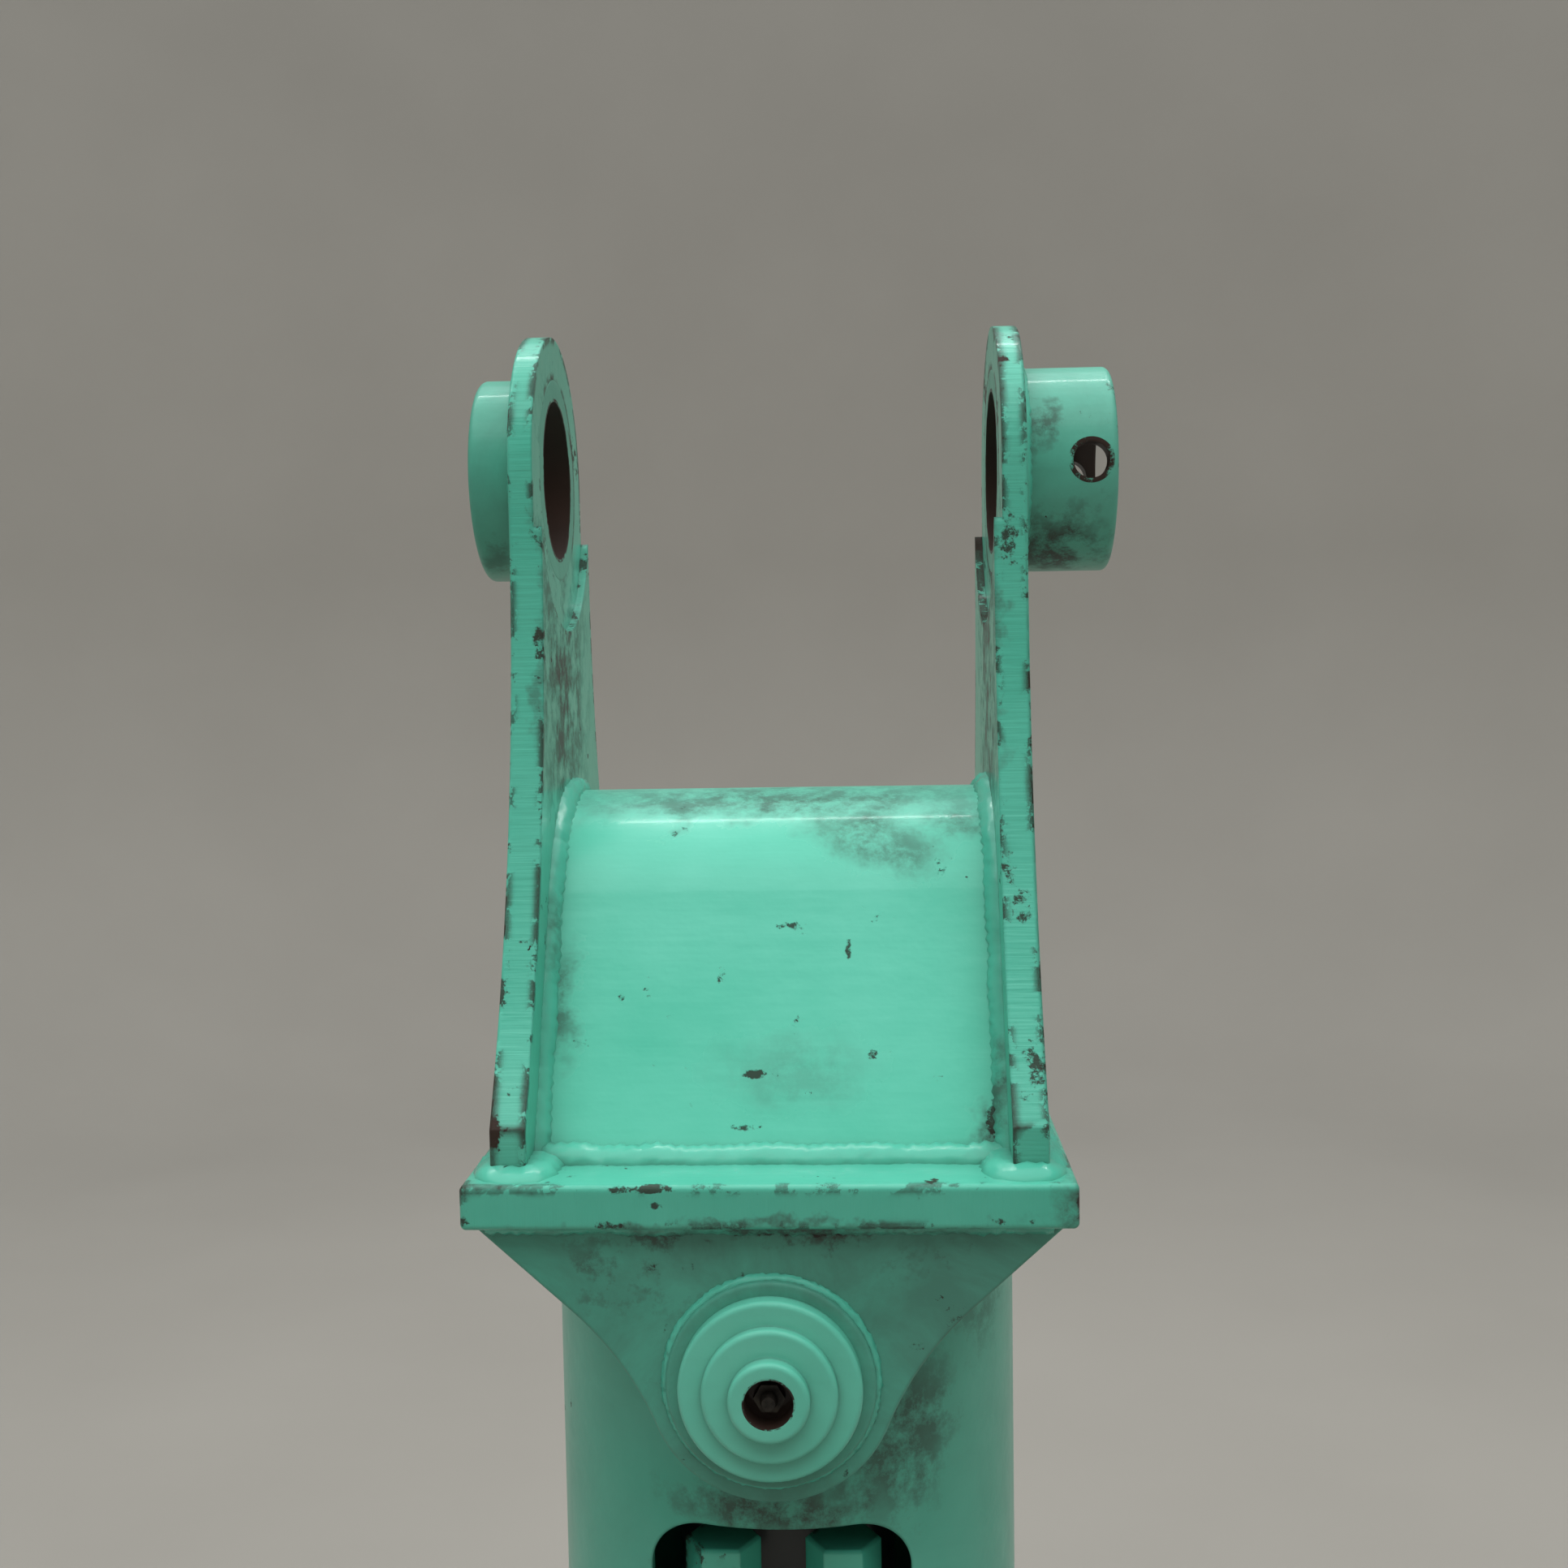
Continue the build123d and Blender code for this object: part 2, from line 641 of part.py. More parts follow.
with BuildPart() as motor_plate:
    with BuildSketch(Plane.XY.offset(ring_top_z)):
        Circle(casing_radius)
        Circle(motor_pilot_radius - 8, mode=Mode.SUBTRACT)
        tie_bolt_holes()
        with Locations(*motor_bolts_at):
            Circle(m12_bolt[2], mode=Mode.SUBTRACT)
    extrude(amount=motor_plate_thickness)
    chamfer(outer_rims(motor_plate), rim_chamfer)
    with BuildSketch(Plane.XY.offset(motor_face_z)):
        Circle(motor_pilot_radius)
    extrude(amount=-motor_pilot_height, mode=Mode.SUBTRACT)
save(motor_plate.part, "motor_mounting_plate")

with BuildPart() as ring_housing:
    with BuildSketch(Plane.XY.offset(ring_bottom_z)):
        Circle(casing_radius)
        tie_bolt_holes()
    extrude(amount=ring_housing_height)
    chamfer(outer_rims(ring_housing), rim_chamfer)
    with BuildSketch(Plane.XY.offset(ring_bottom_z)):
        gear_face_sketch(ring_teeth, ring_pitch_radius - addendum, ring_pitch_radius + dedendum,
                         tooth_thinning, pi / ring_teeth)
    extrude(amount=ring_housing_height, mode=Mode.SUBTRACT)
save(ring_housing.part, "ring_gear_housing")

with BuildPart() as bearing_housing:
    with BuildSketch(Plane.XY.offset(ring_bottom_z)):
        Circle(casing_radius)
        tie_bolt_holes()
    extrude(amount=-bearing_flange_thickness)
    chamfer(outer_rims(bearing_housing), rim_chamfer)
    with BuildSketch(Plane.XY.offset(ring_bottom_z)):
        Circle(bearing_neck_radius)
    extrude(amount=neck_bottom_z - ring_bottom_z)
    neck_root = bearing_housing.edges().filter_by(GeomType.CIRCLE).filter_by(
        lambda edge: abs(edge.radius - bearing_neck_radius) < 0.01
        and abs(edge.center().Z - ring_bottom_z + bearing_flange_thickness) < 0.01)
    fillet(neck_root, neck_root_radius)
    with BuildSketch(Plane.XY.offset(ring_bottom_z)):
        Circle(upper_bearing[0])
    extrude(amount=shoulder_top_z - ring_bottom_z, mode=Mode.SUBTRACT)
    with BuildSketch(Plane.XY.offset(shoulder_top_z)):
        Circle(upper_bearing[0] - bearing_shoulder)
    extrude(amount=shoulder_bottom_z - shoulder_top_z, mode=Mode.SUBTRACT)
    with BuildSketch(Plane.XY.offset(shoulder_bottom_z)):
        Circle(lower_bearing[0])
    extrude(amount=neck_bottom_z - shoulder_bottom_z, mode=Mode.SUBTRACT)
    with BuildSketch(Plane.XY.offset(neck_bottom_z)):
        with PolarLocations(seal_cover_bolt_circle, seal_cover_bolt_count):
            Circle(m8_bolt[2])
    extrude(amount=2 * m8_bolt[0], mode=Mode.SUBTRACT)
save(bearing_housing.part, "bearing_housing")

nut_height = 1.3 * m10_bolt[1]
bearing_flange_bottom_z = ring_bottom_z - bearing_flange_thickness
tie_bolt_grip = hood_bottom_z - bearing_flange_bottom_z
with BuildPart() as tie_bolts:
    hex_heads(m10_bolt, lambda: PolarLocations(tie_bolt_circle, tie_bolt_count),
              Plane.XY.offset(hood_bottom_z), tie_bolt_grip + nut_height + 3)
save(tie_bolts.part, "gearbox_tie_bolts")

with BuildPart() as tie_nuts:
    with BuildSketch(Plane.XY.offset(bearing_flange_bottom_z)):
        with PolarLocations(tie_bolt_circle, tie_bolt_count):
            RegularPolygon(m10_bolt[0] / 2, 6, major_radius=False)
            Circle(m10_bolt[2], mode=Mode.SUBTRACT)
    extrude(amount=-nut_height)
save(tie_nuts.part, "gearbox_tie_nuts")

with BuildPart() as seal_cover:
    with BuildSketch(Plane.XY.offset(neck_bottom_z)):
        Circle(bearing_neck_radius)
        with PolarLocations(seal_cover_bolt_circle, seal_cover_bolt_count):
            Circle(m8_bolt[2] + bolt_hole_clearance, mode=Mode.SUBTRACT)
    extrude(amount=-seal_cover_thickness)
    with BuildSketch(Plane.XY.offset(neck_bottom_z)):
        Circle(lower_bearing[0])
    extrude(amount=seal_cover_spigot)
    with BuildSketch(Plane.XY.offset(seal_cover_bottom_z)):
        Circle(seal_radius)
    extrude(amount=seal_cover_thickness + 2, mode=Mode.SUBTRACT)
    with BuildSketch(Plane.XY.offset(neck_bottom_z)):
        Circle(seal_land_radius + 4)
    extrude(amount=seal_cover_spigot, mode=Mode.SUBTRACT)
save(seal_cover.part, "seal_cover")

with BuildPart() as seal:
    with BuildSketch(Plane.XY.offset(seal_cover_bottom_z + 2)):
        Circle(seal_radius)
        Circle(seal_land_radius + running_clearance, mode=Mode.SUBTRACT)
    extrude(amount=seal_cover_thickness)
save(seal.part, "output_seal")

with BuildPart() as seal_cover_bolts:
    cover_face = Plane(origin=(0, 0, seal_cover_bottom_z), x_dir=(1, 0, 0), z_dir=(0, 0, -1))
    hex_heads(m8_bolt, lambda: PolarLocations(seal_cover_bolt_circle, seal_cover_bolt_count),
              cover_face, seal_cover_thickness + 1.5 * m8_bolt[0])
save(seal_cover_bolts.part, "seal_cover_bolts")

# ------------------------------------------------------------------ output: shaft and bearings


def bearing(values, start_z, direction, names):
    """Tapered roller bearing. Its wide end is at start_z and it runs on in the given Z direction."""
    cup_radius, bore_radius, height, roller_circle, roller_radius = values
    middle_z = start_z + direction * height / 2
    end_z = start_z + direction * height
    race_offset = (roller_radius + running_clearance) / cos(roller_tilt)
    race_slope = tan(roller_tilt) * height / 2
    cup_name, cone_name, rollers_name = names

    def race_ring(wide_radius, narrow_radius, plain_radius, name):
        with BuildPart() as ring:
            with BuildSketch(Plane.XZ):
                with BuildLine():
                    Polyline((plain_radius, start_z), (wide_radius, start_z), (narrow_radius, end_z),
                             (plain_radius, end_z), close=True)
                make_face()
            revolve(axis=Axis.Z)
        save(ring.part, name)

    race_ring(roller_circle + race_offset + race_slope, roller_circle + race_offset - race_slope,
              cup_radius, cup_name)
    race_ring(roller_circle - race_offset + race_slope, roller_circle - race_offset - race_slope,
              bore_radius, cone_name)
    axis_direction = (sin(roller_tilt), 0, -direction * cos(roller_tilt))
    roller_plane = Plane(origin=(roller_circle, 0, middle_z), x_dir=(0, 1, 0), z_dir=axis_direction)
    with BuildPart() as rollers:
        with BuildSketch(roller_plane):
            Circle(roller_radius)
        extrude(amount=height / 2 - roller_end_gap, both=True)
        roller = rollers.part
        for turn in range(1, roller_count):
            add(roller.rotate(Axis.Z, 360 * turn / roller_count))
    save(rollers.part, rollers_name)


bearing(upper_bearing, upper_bearing_z, -1,
        ("upper_bearing_cup", "upper_bearing_cone", "upper_bearing_rollers"))
bearing(lower_bearing, lower_bearing_end_z, 1,
        ("lower_bearing_cup", "lower_bearing_cone", "lower_bearing_rollers"))

spline_radius = 25.0
thread_radius = upper_bearing[1] - 1
with BuildPart() as output_shaft:
    with BuildSketch(Plane.XZ):
        with BuildLine():
            Polyline((0, carrier_top_z - 1), (spline_radius, carrier_top_z - 1),
                     (spline_radius, carrier_bottom_z), (thread_radius, carrier_bottom_z),
                     (thread_radius, upper_bearing_z), (upper_bearing[1], upper_bearing_z),
                     (upper_bearing[1], shoulder_top_z), (upper_bearing[1] + 3, shoulder_top_z),
                     (upper_bearing[1] + 3, shoulder_bottom_z), (lower_bearing[1], shoulder_bottom_z),
                     (lower_bearing[1], lower_bearing_end_z), (seal_land_radius, lower_bearing_end_z),
                     (seal_land_radius, output_top_z), (output_radius, output_top_z),
                     (output_radius, output_end_z + output_chamfer),
                     (output_radius - output_chamfer, output_end_z), (0, output_end_z), close=True)
        make_face()
    revolve(axis=Axis.Z)
    with BuildSketch(Plane.XZ):
        with Locations((0, output_end_z + output_hole_from_end)):
            Circle(output_hole_radius)
    extrude(amount=output_radius, both=True, mode=Mode.SUBTRACT)
save(output_shaft.part, "output_shaft")

with BuildPart() as locknut:
    with BuildSketch(Plane.XY.offset(upper_bearing_z)):
        Circle(locknut_radius)
        Circle(thread_radius, mode=Mode.SUBTRACT)
        with PolarLocations(locknut_radius, 4):
            Rectangle(8, 8, mode=Mode.SUBTRACT)
    extrude(amount=locknut_height)
save(locknut.part, "bearing_locknut")

with BuildPart() as carrier:
    with BuildSketch(Plane.XY.offset(carrier_bottom_z)):
        Circle(carrier_radius)
        Circle(spline_radius, mode=Mode.SUBTRACT)
        with PolarLocations(planet_circle, planet_count):
            Circle(planet_pin_radius, mode=Mode.SUBTRACT)
    extrude(amount=carrier_thickness)
save(carrier.part, "planet_carrier")

with BuildPart() as planet_pins:
    with BuildSketch(Plane.XY.offset(carrier_bottom_z)):
        with PolarLocations(planet_circle, planet_count):
            Circle(planet_pin_radius)
    extrude(amount=gear_top_z + planet_washer_thickness + carrier_clearance - carrier_bottom_z)
save(planet_pins.part, "planet_pins")

with BuildPart() as planet_washers:
    with BuildSketch(Plane.XY.offset(gear_top_z + carrier_clearance)):
        with PolarLocations(planet_circle, planet_count):
            Circle(planet_washer_radius)
            Circle(planet_pin_radius, mode=Mode.SUBTRACT)
    extrude(amount=planet_washer_thickness)
save(planet_washers.part, "planet_washers")

# ------------------------------------------------------------------ gears on the motor shaft and planets

with BuildPart() as motor_shaft:
    with BuildSketch(Plane.XY.offset(gear_bottom_z)):
        Circle(motor_shaft_radius)
    extrude(amount=motor_face_z + motor_shaft_bore_depth - running_clearance - gear_bottom_z)
save(motor_shaft.part, "motor_shaft")

with BuildPart() as sun_gear:
    with BuildSketch(Plane.XY.offset(gear_bottom_z)):
        gear_face_sketch(sun_teeth, sun_pitch_radius - dedendum, sun_pitch_radius + addendum,
                         -tooth_thinning, 0)
        Circle(motor_shaft_radius, mode=Mode.SUBTRACT)
    extrude(amount=gear_face)
save(sun_gear.part, "sun_gear")

bush_radius = planet_pin_radius + planet_bush_wall
for number in range(planet_count):
    turn = 2 * pi * number / planet_count
    seat = Plane(origin=(planet_circle * cos(turn), planet_circle * sin(turn), gear_bottom_z),
                 x_dir=(cos(turn), sin(turn), 0), z_dir=(0, 0, 1))
    with BuildPart() as planet:
        with BuildSketch(seat):
            gear_face_sketch(planet_teeth, planet_pitch_radius - dedendum, planet_pitch_radius + addendum,
                             -tooth_thinning, pi / planet_teeth)
            Circle(bush_radius, mode=Mode.SUBTRACT)
        extrude(amount=gear_face)
    save(planet.part, f"planet_gear_{number + 1}")
    with BuildPart() as planet_bush:
        with BuildSketch(seat):
            Circle(bush_radius)
            Circle(planet_pin_radius + running_clearance, mode=Mode.SUBTRACT)
        extrude(amount=gear_face)
    save(planet_bush.part, f"planet_bush_{number + 1}")

# ------------------------------------------------------------------ oil plugs in the ring gear's rim

with BuildPart() as oil_plugs:
    plug_z = (ring_top_z + ring_bottom_z) / 2
    for direction in (1, -1):
        plug_face = Plane(origin=(0, direction * casing_radius, plug_z), x_dir=(1, 0, 0),
                          z_dir=(0, direction, 0))
        with BuildSketch(plug_face):
            RegularPolygon(m12_bolt[0] / 2, 6, major_radius=False)
        extrude(amount=m12_bolt[1])
save(oil_plugs.part, "oil_plugs")
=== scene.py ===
"""Looks of an excavator auger drive that hangs from a single-pin hitch.

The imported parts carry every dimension. This script dresses them in worn workshop finishes, lays the painted
weld beads that hold the assembly together, and sets up the studio round it.
"""

import logging
import math
import random
from abc import ABC, abstractmethod
from dataclasses import dataclass, field
from enum import Enum
from typing import Any, Sequence

import bpy
from mathutils import Matrix, Vector


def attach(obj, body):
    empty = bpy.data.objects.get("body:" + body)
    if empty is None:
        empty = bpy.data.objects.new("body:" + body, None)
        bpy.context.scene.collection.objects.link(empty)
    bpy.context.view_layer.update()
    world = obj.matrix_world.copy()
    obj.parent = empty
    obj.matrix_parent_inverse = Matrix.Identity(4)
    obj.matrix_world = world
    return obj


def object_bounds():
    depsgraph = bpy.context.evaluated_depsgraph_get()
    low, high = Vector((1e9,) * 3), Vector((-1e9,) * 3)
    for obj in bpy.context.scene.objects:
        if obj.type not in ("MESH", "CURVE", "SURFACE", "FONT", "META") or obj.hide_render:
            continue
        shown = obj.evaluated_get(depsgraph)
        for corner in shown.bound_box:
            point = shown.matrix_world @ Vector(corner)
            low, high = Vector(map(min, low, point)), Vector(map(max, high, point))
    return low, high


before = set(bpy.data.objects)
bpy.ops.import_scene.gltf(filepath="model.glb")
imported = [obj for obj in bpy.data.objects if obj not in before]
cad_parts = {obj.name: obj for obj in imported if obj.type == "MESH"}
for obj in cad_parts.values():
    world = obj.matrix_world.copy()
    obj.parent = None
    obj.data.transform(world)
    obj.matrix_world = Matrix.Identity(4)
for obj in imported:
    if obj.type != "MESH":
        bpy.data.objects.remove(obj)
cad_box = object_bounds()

log = logging.getLogger("auger_drive")

Piece = bpy.types.Object
Tree = bpy.types.NodeTree
Source = bpy.types.Node | bpy.types.NodeSocket
Point = tuple[float, float, float]
Path = list[Point]

MM = 0.001
HALF_TURN = Matrix.Rotation(math.pi, 4, "Z")

COAT_ROUNDING = 1.6 * MM  # the enamel fills an edge to this radius
EDGE_REACH = 5.0 * MM  # an edge is knocked within this distance
CORNER_REACH = 14 * MM  # painted shade and grease darken corners within this distance
PATCH_WANDER = 15 * MM  # a patch's outline strays by up to this much, dirty patches and painted shade alike


# ---- small helpers


def linear(hex_code: str) -> tuple[float, float, float, float]:
    """Turn an sRGB hex value into linear RGBA.

    Args:
        hex_code: Six hex digits, with or without a leading hash.

    Returns:
        The colour as the shaders take it.
    """
    digits = hex_code.lstrip("#")
    channels = [int(digits[i : i + 2], 16) / 255 for i in (0, 2, 4)]
    red, green, blue = [c / 12.92 if c <= 0.04045 else ((c + 0.055) / 1.055) ** 2.4 for c in channels]
    return (red, green, blue, 1.0)


def add_node(tree: Tree, kind: str, inputs: dict[str | int, Any] | None = None) -> bpy.types.Node:
    """Add a node with its settings and its incoming links.

    Args:
        tree: The node tree that gets the node.
        kind: The node's type name, without the ShaderNode that all begin with.
        inputs: Values by input name, input number or property name. A socket, or the first output of a
            node, is linked.

    Returns:
        The new node.
    """
    node = tree.nodes.new("ShaderNode" + kind)
    for key, value in (inputs or {}).items():
        if isinstance(value, bpy.types.Node):
            value = value.outputs[0]
        if isinstance(value, bpy.types.NodeSocket):
            tree.links.new(value, node.inputs[key])
        elif isinstance(key, int) or (key in node.inputs and not hasattr(node, key)):
            node.inputs[key].default_value = value
        else:
            setattr(node, key, value)
    return node


def set_mode(mode: str) -> None:
    """Change the active piece's mode."""
    bpy.ops.object.mode_set(mode=mode)


def deselect_all() -> None:
    """Leave object mode with nothing selected."""
    if bpy.context.mode != "OBJECT":
        set_mode("OBJECT")
    bpy.ops.object.select_all(action="DESELECT")


def make_active(piece: Piece) -> None:
    """Select one piece alone and make it the active one."""
    deselect_all()
    piece.select_set(True)
    bpy.context.view_layer.objects.active = piece


def metres(points: Sequence[Sequence[float]]) -> list[Vector]:
    """Turn points in millimetres into vectors in metres."""
    return [Vector(p) * MM for p in points]


def moved_copy(piece: Piece, name: str, move: Matrix) -> Piece:
    """Copy a finished piece with its own mesh and put the copy in its place.

    Args:
        piece: The piece that repeats.
        name: The copy's name.
        move: The turn or shift from the piece to the copy.

    Returns:
        The copy, whose object sits at the origin.
    """
    twin = piece.copy()
    twin.data = piece.data.copy()
    twin.data.transform(move)
    twin.name = name
    twin.data.name = name
    bpy.context.scene.collection.objects.link(twin)
    return twin


# ---- finishes


class Direction(Enum):
    """A main direction of the object's frame."""

    X = 0
    Y = 1
    Z = 2


class Finish(ABC):
    """A surface finish that builds its own material.

    Attributes:
        name: The material's name.
    """

    name: str

    @abstractmethod
    def lay_nodes(self, tree: Tree, place: Source) -> Source:
        """Lay the finish's nodes.

        Args:
            tree: The material's node tree.
            place: Object coordinates.

        Returns:
            The shader.
        """

    def make(self) -> bpy.types.Material:
        """Build the material.

        Returns:
            The finished material.
        """
        material = bpy.data.materials.new(self.name)
        material.use_nodes = True
        tree = material.node_tree
        tree.nodes.clear()
        shader = self.lay_nodes(tree, add_node(tree, "TexCoord").outputs["Object"])
        add_node(tree, "OutputMaterial", {"Surface": shader})
        return material


@dataclass(frozen=True)
class SoftPatch:
    """A soft patch at one place on a surface: a dirty patch, a scrape, or painted shade under and between
    parts.

    Attributes:
        centre: Its middle, in millimetres.
        reach: How far it spreads along X, Y and Z, in millimetres.
        strength: How dark it gets, from 0 to 1.
    """

    centre: Point
    reach: Point
    strength: float = 0.7


@dataclass(frozen=True)
class Bore:
    """A hole whose wall is painted in the colours of bare and rusty steel, with a worn rim; in the small recess
    round the grease nipple the dark wall also stands for the shade inside it.

    Attributes:
        axis: The direction of its axis.
        centre: A point on its axis, in millimetres.
        radius: Its radius in millimetres.
        rim: Width of the worn rim round it, in millimetres.
    """

    axis: Direction
    centre: Point
    radius: float
    rim: float = 1.5


@dataclass(frozen=True)
class PaintInputs:
    """What every layer of one enamel reads.

    Attributes:
        tree: The material's node tree.
        place: Object coordinates.
        facing: The surface normal.
        clouds: Soft noise 50 mm across.
        grit: Fine noise a few millimetres across.
    """

    tree: Tree
    place: Source
    facing: Source
    clouds: Source
    grit: Source


def join_masks(tree: Tree, masks: Sequence[Source | None]) -> Source | None:
    """Join masks by taking the strongest at each point.

    Args:
        tree: The material's node tree.
        masks: The masks, where None stands for an empty one.

    Returns:
        The joint mask, or None where all are empty.
    """
    joined = None
    for mask in masks:
        if joined is None:
            joined = mask
        elif mask is not None:
            joined = add_node(tree, "Math", {"operation": "MAXIMUM", 0: joined, 1: mask})
    return joined


@dataclass(frozen=True)
class ChippedEnamel(Finish):
    """Thick brushed mint enamel over flame-cut steel.

    Synthetic enamel brushed on in several coats: deep gloss with a slight orange peel and brush drag, knocked
    off to brown primer and dark steel along the edges, pitted by stones, and greyed by earth and old grease.
    The same grey is laid in corners, gaps and under other parts as painted shade.

    Attributes:
        name: The material's name.
        coat: Colour of clean enamel, painted lighter on the saddle and the pin head so that they look lit.
        faded: Colour where the coat is thin or chalked.
        soil_and_shade: Colour of dry earth and grease, also laid as painted shade.
        chip_dark: Colour of bruised steel in a chip.
        chip_rust: Colour of rust in a chip.
        chipping: How much of the edges is knocked off, from 0 to 1.
        grime_and_shade: How dirty the faces are and how dark the painted shade in corners is, from 0 to 1.
        wash: How much of a thin dirty film lies over the whole coat, from 0 to 1.
        plate_normal: Direction across the plate, where its rim shows flame-cut ridges.
        stains_and_shade: Local dark patches: dirty ones, and painted shade under and between parts.
        scuffs_and_shade: Local patches where the coat is scraped through in places, and on the lugs a dark line
            of painted shade right under the base plate.
        bores: Bare holes.
        gloss_roughness: Roughness of clean enamel.
    """

    name: str = "mint_brushed_enamel"
    coat: str = "46B098"
    faded: str = "5CBFA8"
    soil_and_shade: str = "3A413A"
    chip_dark: str = "1B1613"
    chip_rust: str = "35221A"
    chipping: float = 0.5
    grime_and_shade: float = 0.4
    wash: float = 0.0
    plate_normal: Direction | None = None
    stains_and_shade: tuple[SoftPatch, ...] = ()
    scuffs_and_shade: tuple[SoftPatch, ...] = ()
    bores: tuple[Bore, ...] = ()
    gloss_roughness: float = 0.27

    def patch_mask(self, tree: Tree, place: Source, patches: Sequence[SoftPatch]) -> Source | None:
        """Join local patches into one mask.

        Args:
            tree: The material's node tree.
            place: Object coordinates.
            patches: The patches.

        Returns:
            The mask, or None where there is no patch.
        """
        masks = []
        fade = {"interpolation_type": "SMOOTHSTEP", "From Min": 1.0, "From Max": 0.15}
        for soft_patch in patches:
            centred = add_node(tree, "Mapping", {
                "vector_type": "TEXTURE", "Location": [c * MM for c in soft_patch.centre],
                "Scale": [r * MM for r in soft_patch.reach], "Vector": place,
            })
            away = add_node(tree, "VectorMath", {"operation": "LENGTH", 0: centred}).outputs["Value"]
            masks.append(add_node(tree, "MapRange", {**fade, "To Max": soft_patch.strength, "Value": away}))
        return join_masks(tree, masks)

    def bore_masks(self, tree: Tree, place: Source) -> tuple[Source | None, Source | None]:
        """Mask the walls of the bare holes and their worn rims.

        Args:
            tree: The material's node tree.
            place: Object coordinates.

        Returns:
            The mask of the walls and the mask of the rims, both None where there is no bare hole.
        """
        walls, rims = [], []
        for bore in self.bores:
            flat = [1.0, 1.0, 1.0]
            flat[bore.axis.value] = 0.0
            centre = [-c * MM * f for c, f in zip(bore.centre, flat)]
            centred = add_node(tree, "Mapping", {"Location": centre, "Scale": flat, "Vector": place})
            away = add_node(tree, "VectorMath", {"operation": "LENGTH", 0: centred})
            for masks, reach in ((walls, bore.radius + 0.12), (rims, bore.radius + bore.rim)):
                within = {"operation": "LESS_THAN", 0: away.outputs["Value"], 1: reach * MM}
                masks.append(add_node(tree, "Math", within))
        return join_masks(tree, walls), join_masks(tree, rims)

    def cut_ridges(self, paint: PaintInputs) -> Source | None:
        """Height of the flame-cut ridges on the plate's rim, 1.7 mm apart and drawn coarse enough to show.

        Args:
            paint: What every layer reads.

        Returns:
            The height, or None on a piece that isn't cut plate.
        """
        if self.plate_normal is None:
            return None
        tree = paint.tree
        per_metre = [600.0, 600.0, 600.0]
        per_metre[self.plate_normal.value] = 26.0
        stretched = add_node(tree, "Mapping", {"Scale": per_metre, "Vector": paint.place})
        ridges = add_node(
            tree, "TexNoise", {"Scale": 1.0, "Detail": 2.0, "Roughness": 0.6, "Vector": stretched}
        )
        axes = add_node(tree, "SeparateXYZ", {"Vector": paint.facing})
        across = add_node(tree, "Math", {"operation": "ABSOLUTE", 0: axes.outputs[self.plate_normal.value]})
        on_rim = add_node(tree, "Math", {"operation": "LESS_THAN", 0: across, 1: 0.35})
        return add_node(tree, "Math", {"operation": "MULTIPLY", 0: ridges, 1: on_rim})

    def soil_and_shade_mask(self, paint: PaintInputs) -> Source:
        """Join wiped-on earth, painted shade with grease in corners, the thin film and the local patches, dirty
        and shaded, into one mask.

        Args:
            paint: What every layer reads.

        Returns:
            How dark each point is painted, for dirtiness and for shade, from 0 to 1.
        """
        tree, place, clouds = paint.tree, paint.place, paint.clouds
        wiped = add_node(tree, "MapRange", {
            "interpolation_type": "SMOOTHSTEP", "From Min": 0.72 - 0.26 * self.grime_and_shade,
            "From Max": 0.95 - 0.22 * self.grime_and_shade, "To Max": 0.35 + 0.5 * self.grime_and_shade, "Value": clouds,
        })
        # Painted shade: ambient occlusion darkens corners, gaps and faces under other parts, and also stands
        # for grease lying there.
        corner = add_node(tree, "AmbientOcclusion", {"samples": 6, "Distance": CORNER_REACH}).outputs["AO"]
        corner_shade_and_grease = add_node(tree, "MapRange", {
            "From Min": 0.86, "From Max": 0.25, "To Max": 0.5 + 0.5 * self.grime_and_shade, "Value": corner
        })
        corner_shade_and_grease = add_node(tree, "Math", {"operation": "MULTIPLY", "use_clamp": True, 0: corner_shade_and_grease, 1: clouds})
        corner_shade_and_grease = add_node(tree, "Math", {"operation": "MULTIPLY", "use_clamp": True, 0: corner_shade_and_grease, 1: 1.7})
        film = add_node(tree, "MapRange", {
            "From Min": 0.35, "From Max": 0.65, "To Min": 0.65 * self.wash, "To Max": 1.25 * self.wash,
            "Value": clouds,
        })
        # Patches wander, dirty and shaded alike, so that none has a drawn outline.
        drift = add_node(tree, "TexNoise", {"Scale": 55.0, "Detail": 4.0, "Roughness": 0.65, "Vector": place})
        centred = {"operation": "MULTIPLY_ADD", 1: [2 * PATCH_WANDER] * 3, 2: [-PATCH_WANDER] * 3}
        drift = add_node(tree, "VectorMath", {**centred, 0: drift.outputs["Color"]})
        astray = add_node(tree, "VectorMath", {"operation": "ADD", 0: place, 1: drift})
        soft_patch = self.patch_mask(tree, astray, self.stains_and_shade)
        if soft_patch is not None:
            broken = add_node(
                tree, "MapRange", {"From Min": 0.38, "From Max": 0.56, "To Min": 0.25, "Value": paint.grit}
            )
            soft_patch = add_node(tree, "Math", {"operation": "MULTIPLY", 0: soft_patch, 1: broken})
        return join_masks(tree, (wiped, corner_shade_and_grease, film, soft_patch))

    def chip_mask(self, paint: PaintInputs) -> Source:
        """Join edge chips, scraped patches with the lugs' line of painted shade, stone pits and bare bores into
        one mask.

        Args:
            paint: What every layer reads.

        Returns:
            Where the coat is gone, from 0 to 1.
        """
        tree, place = paint.tree, paint.place
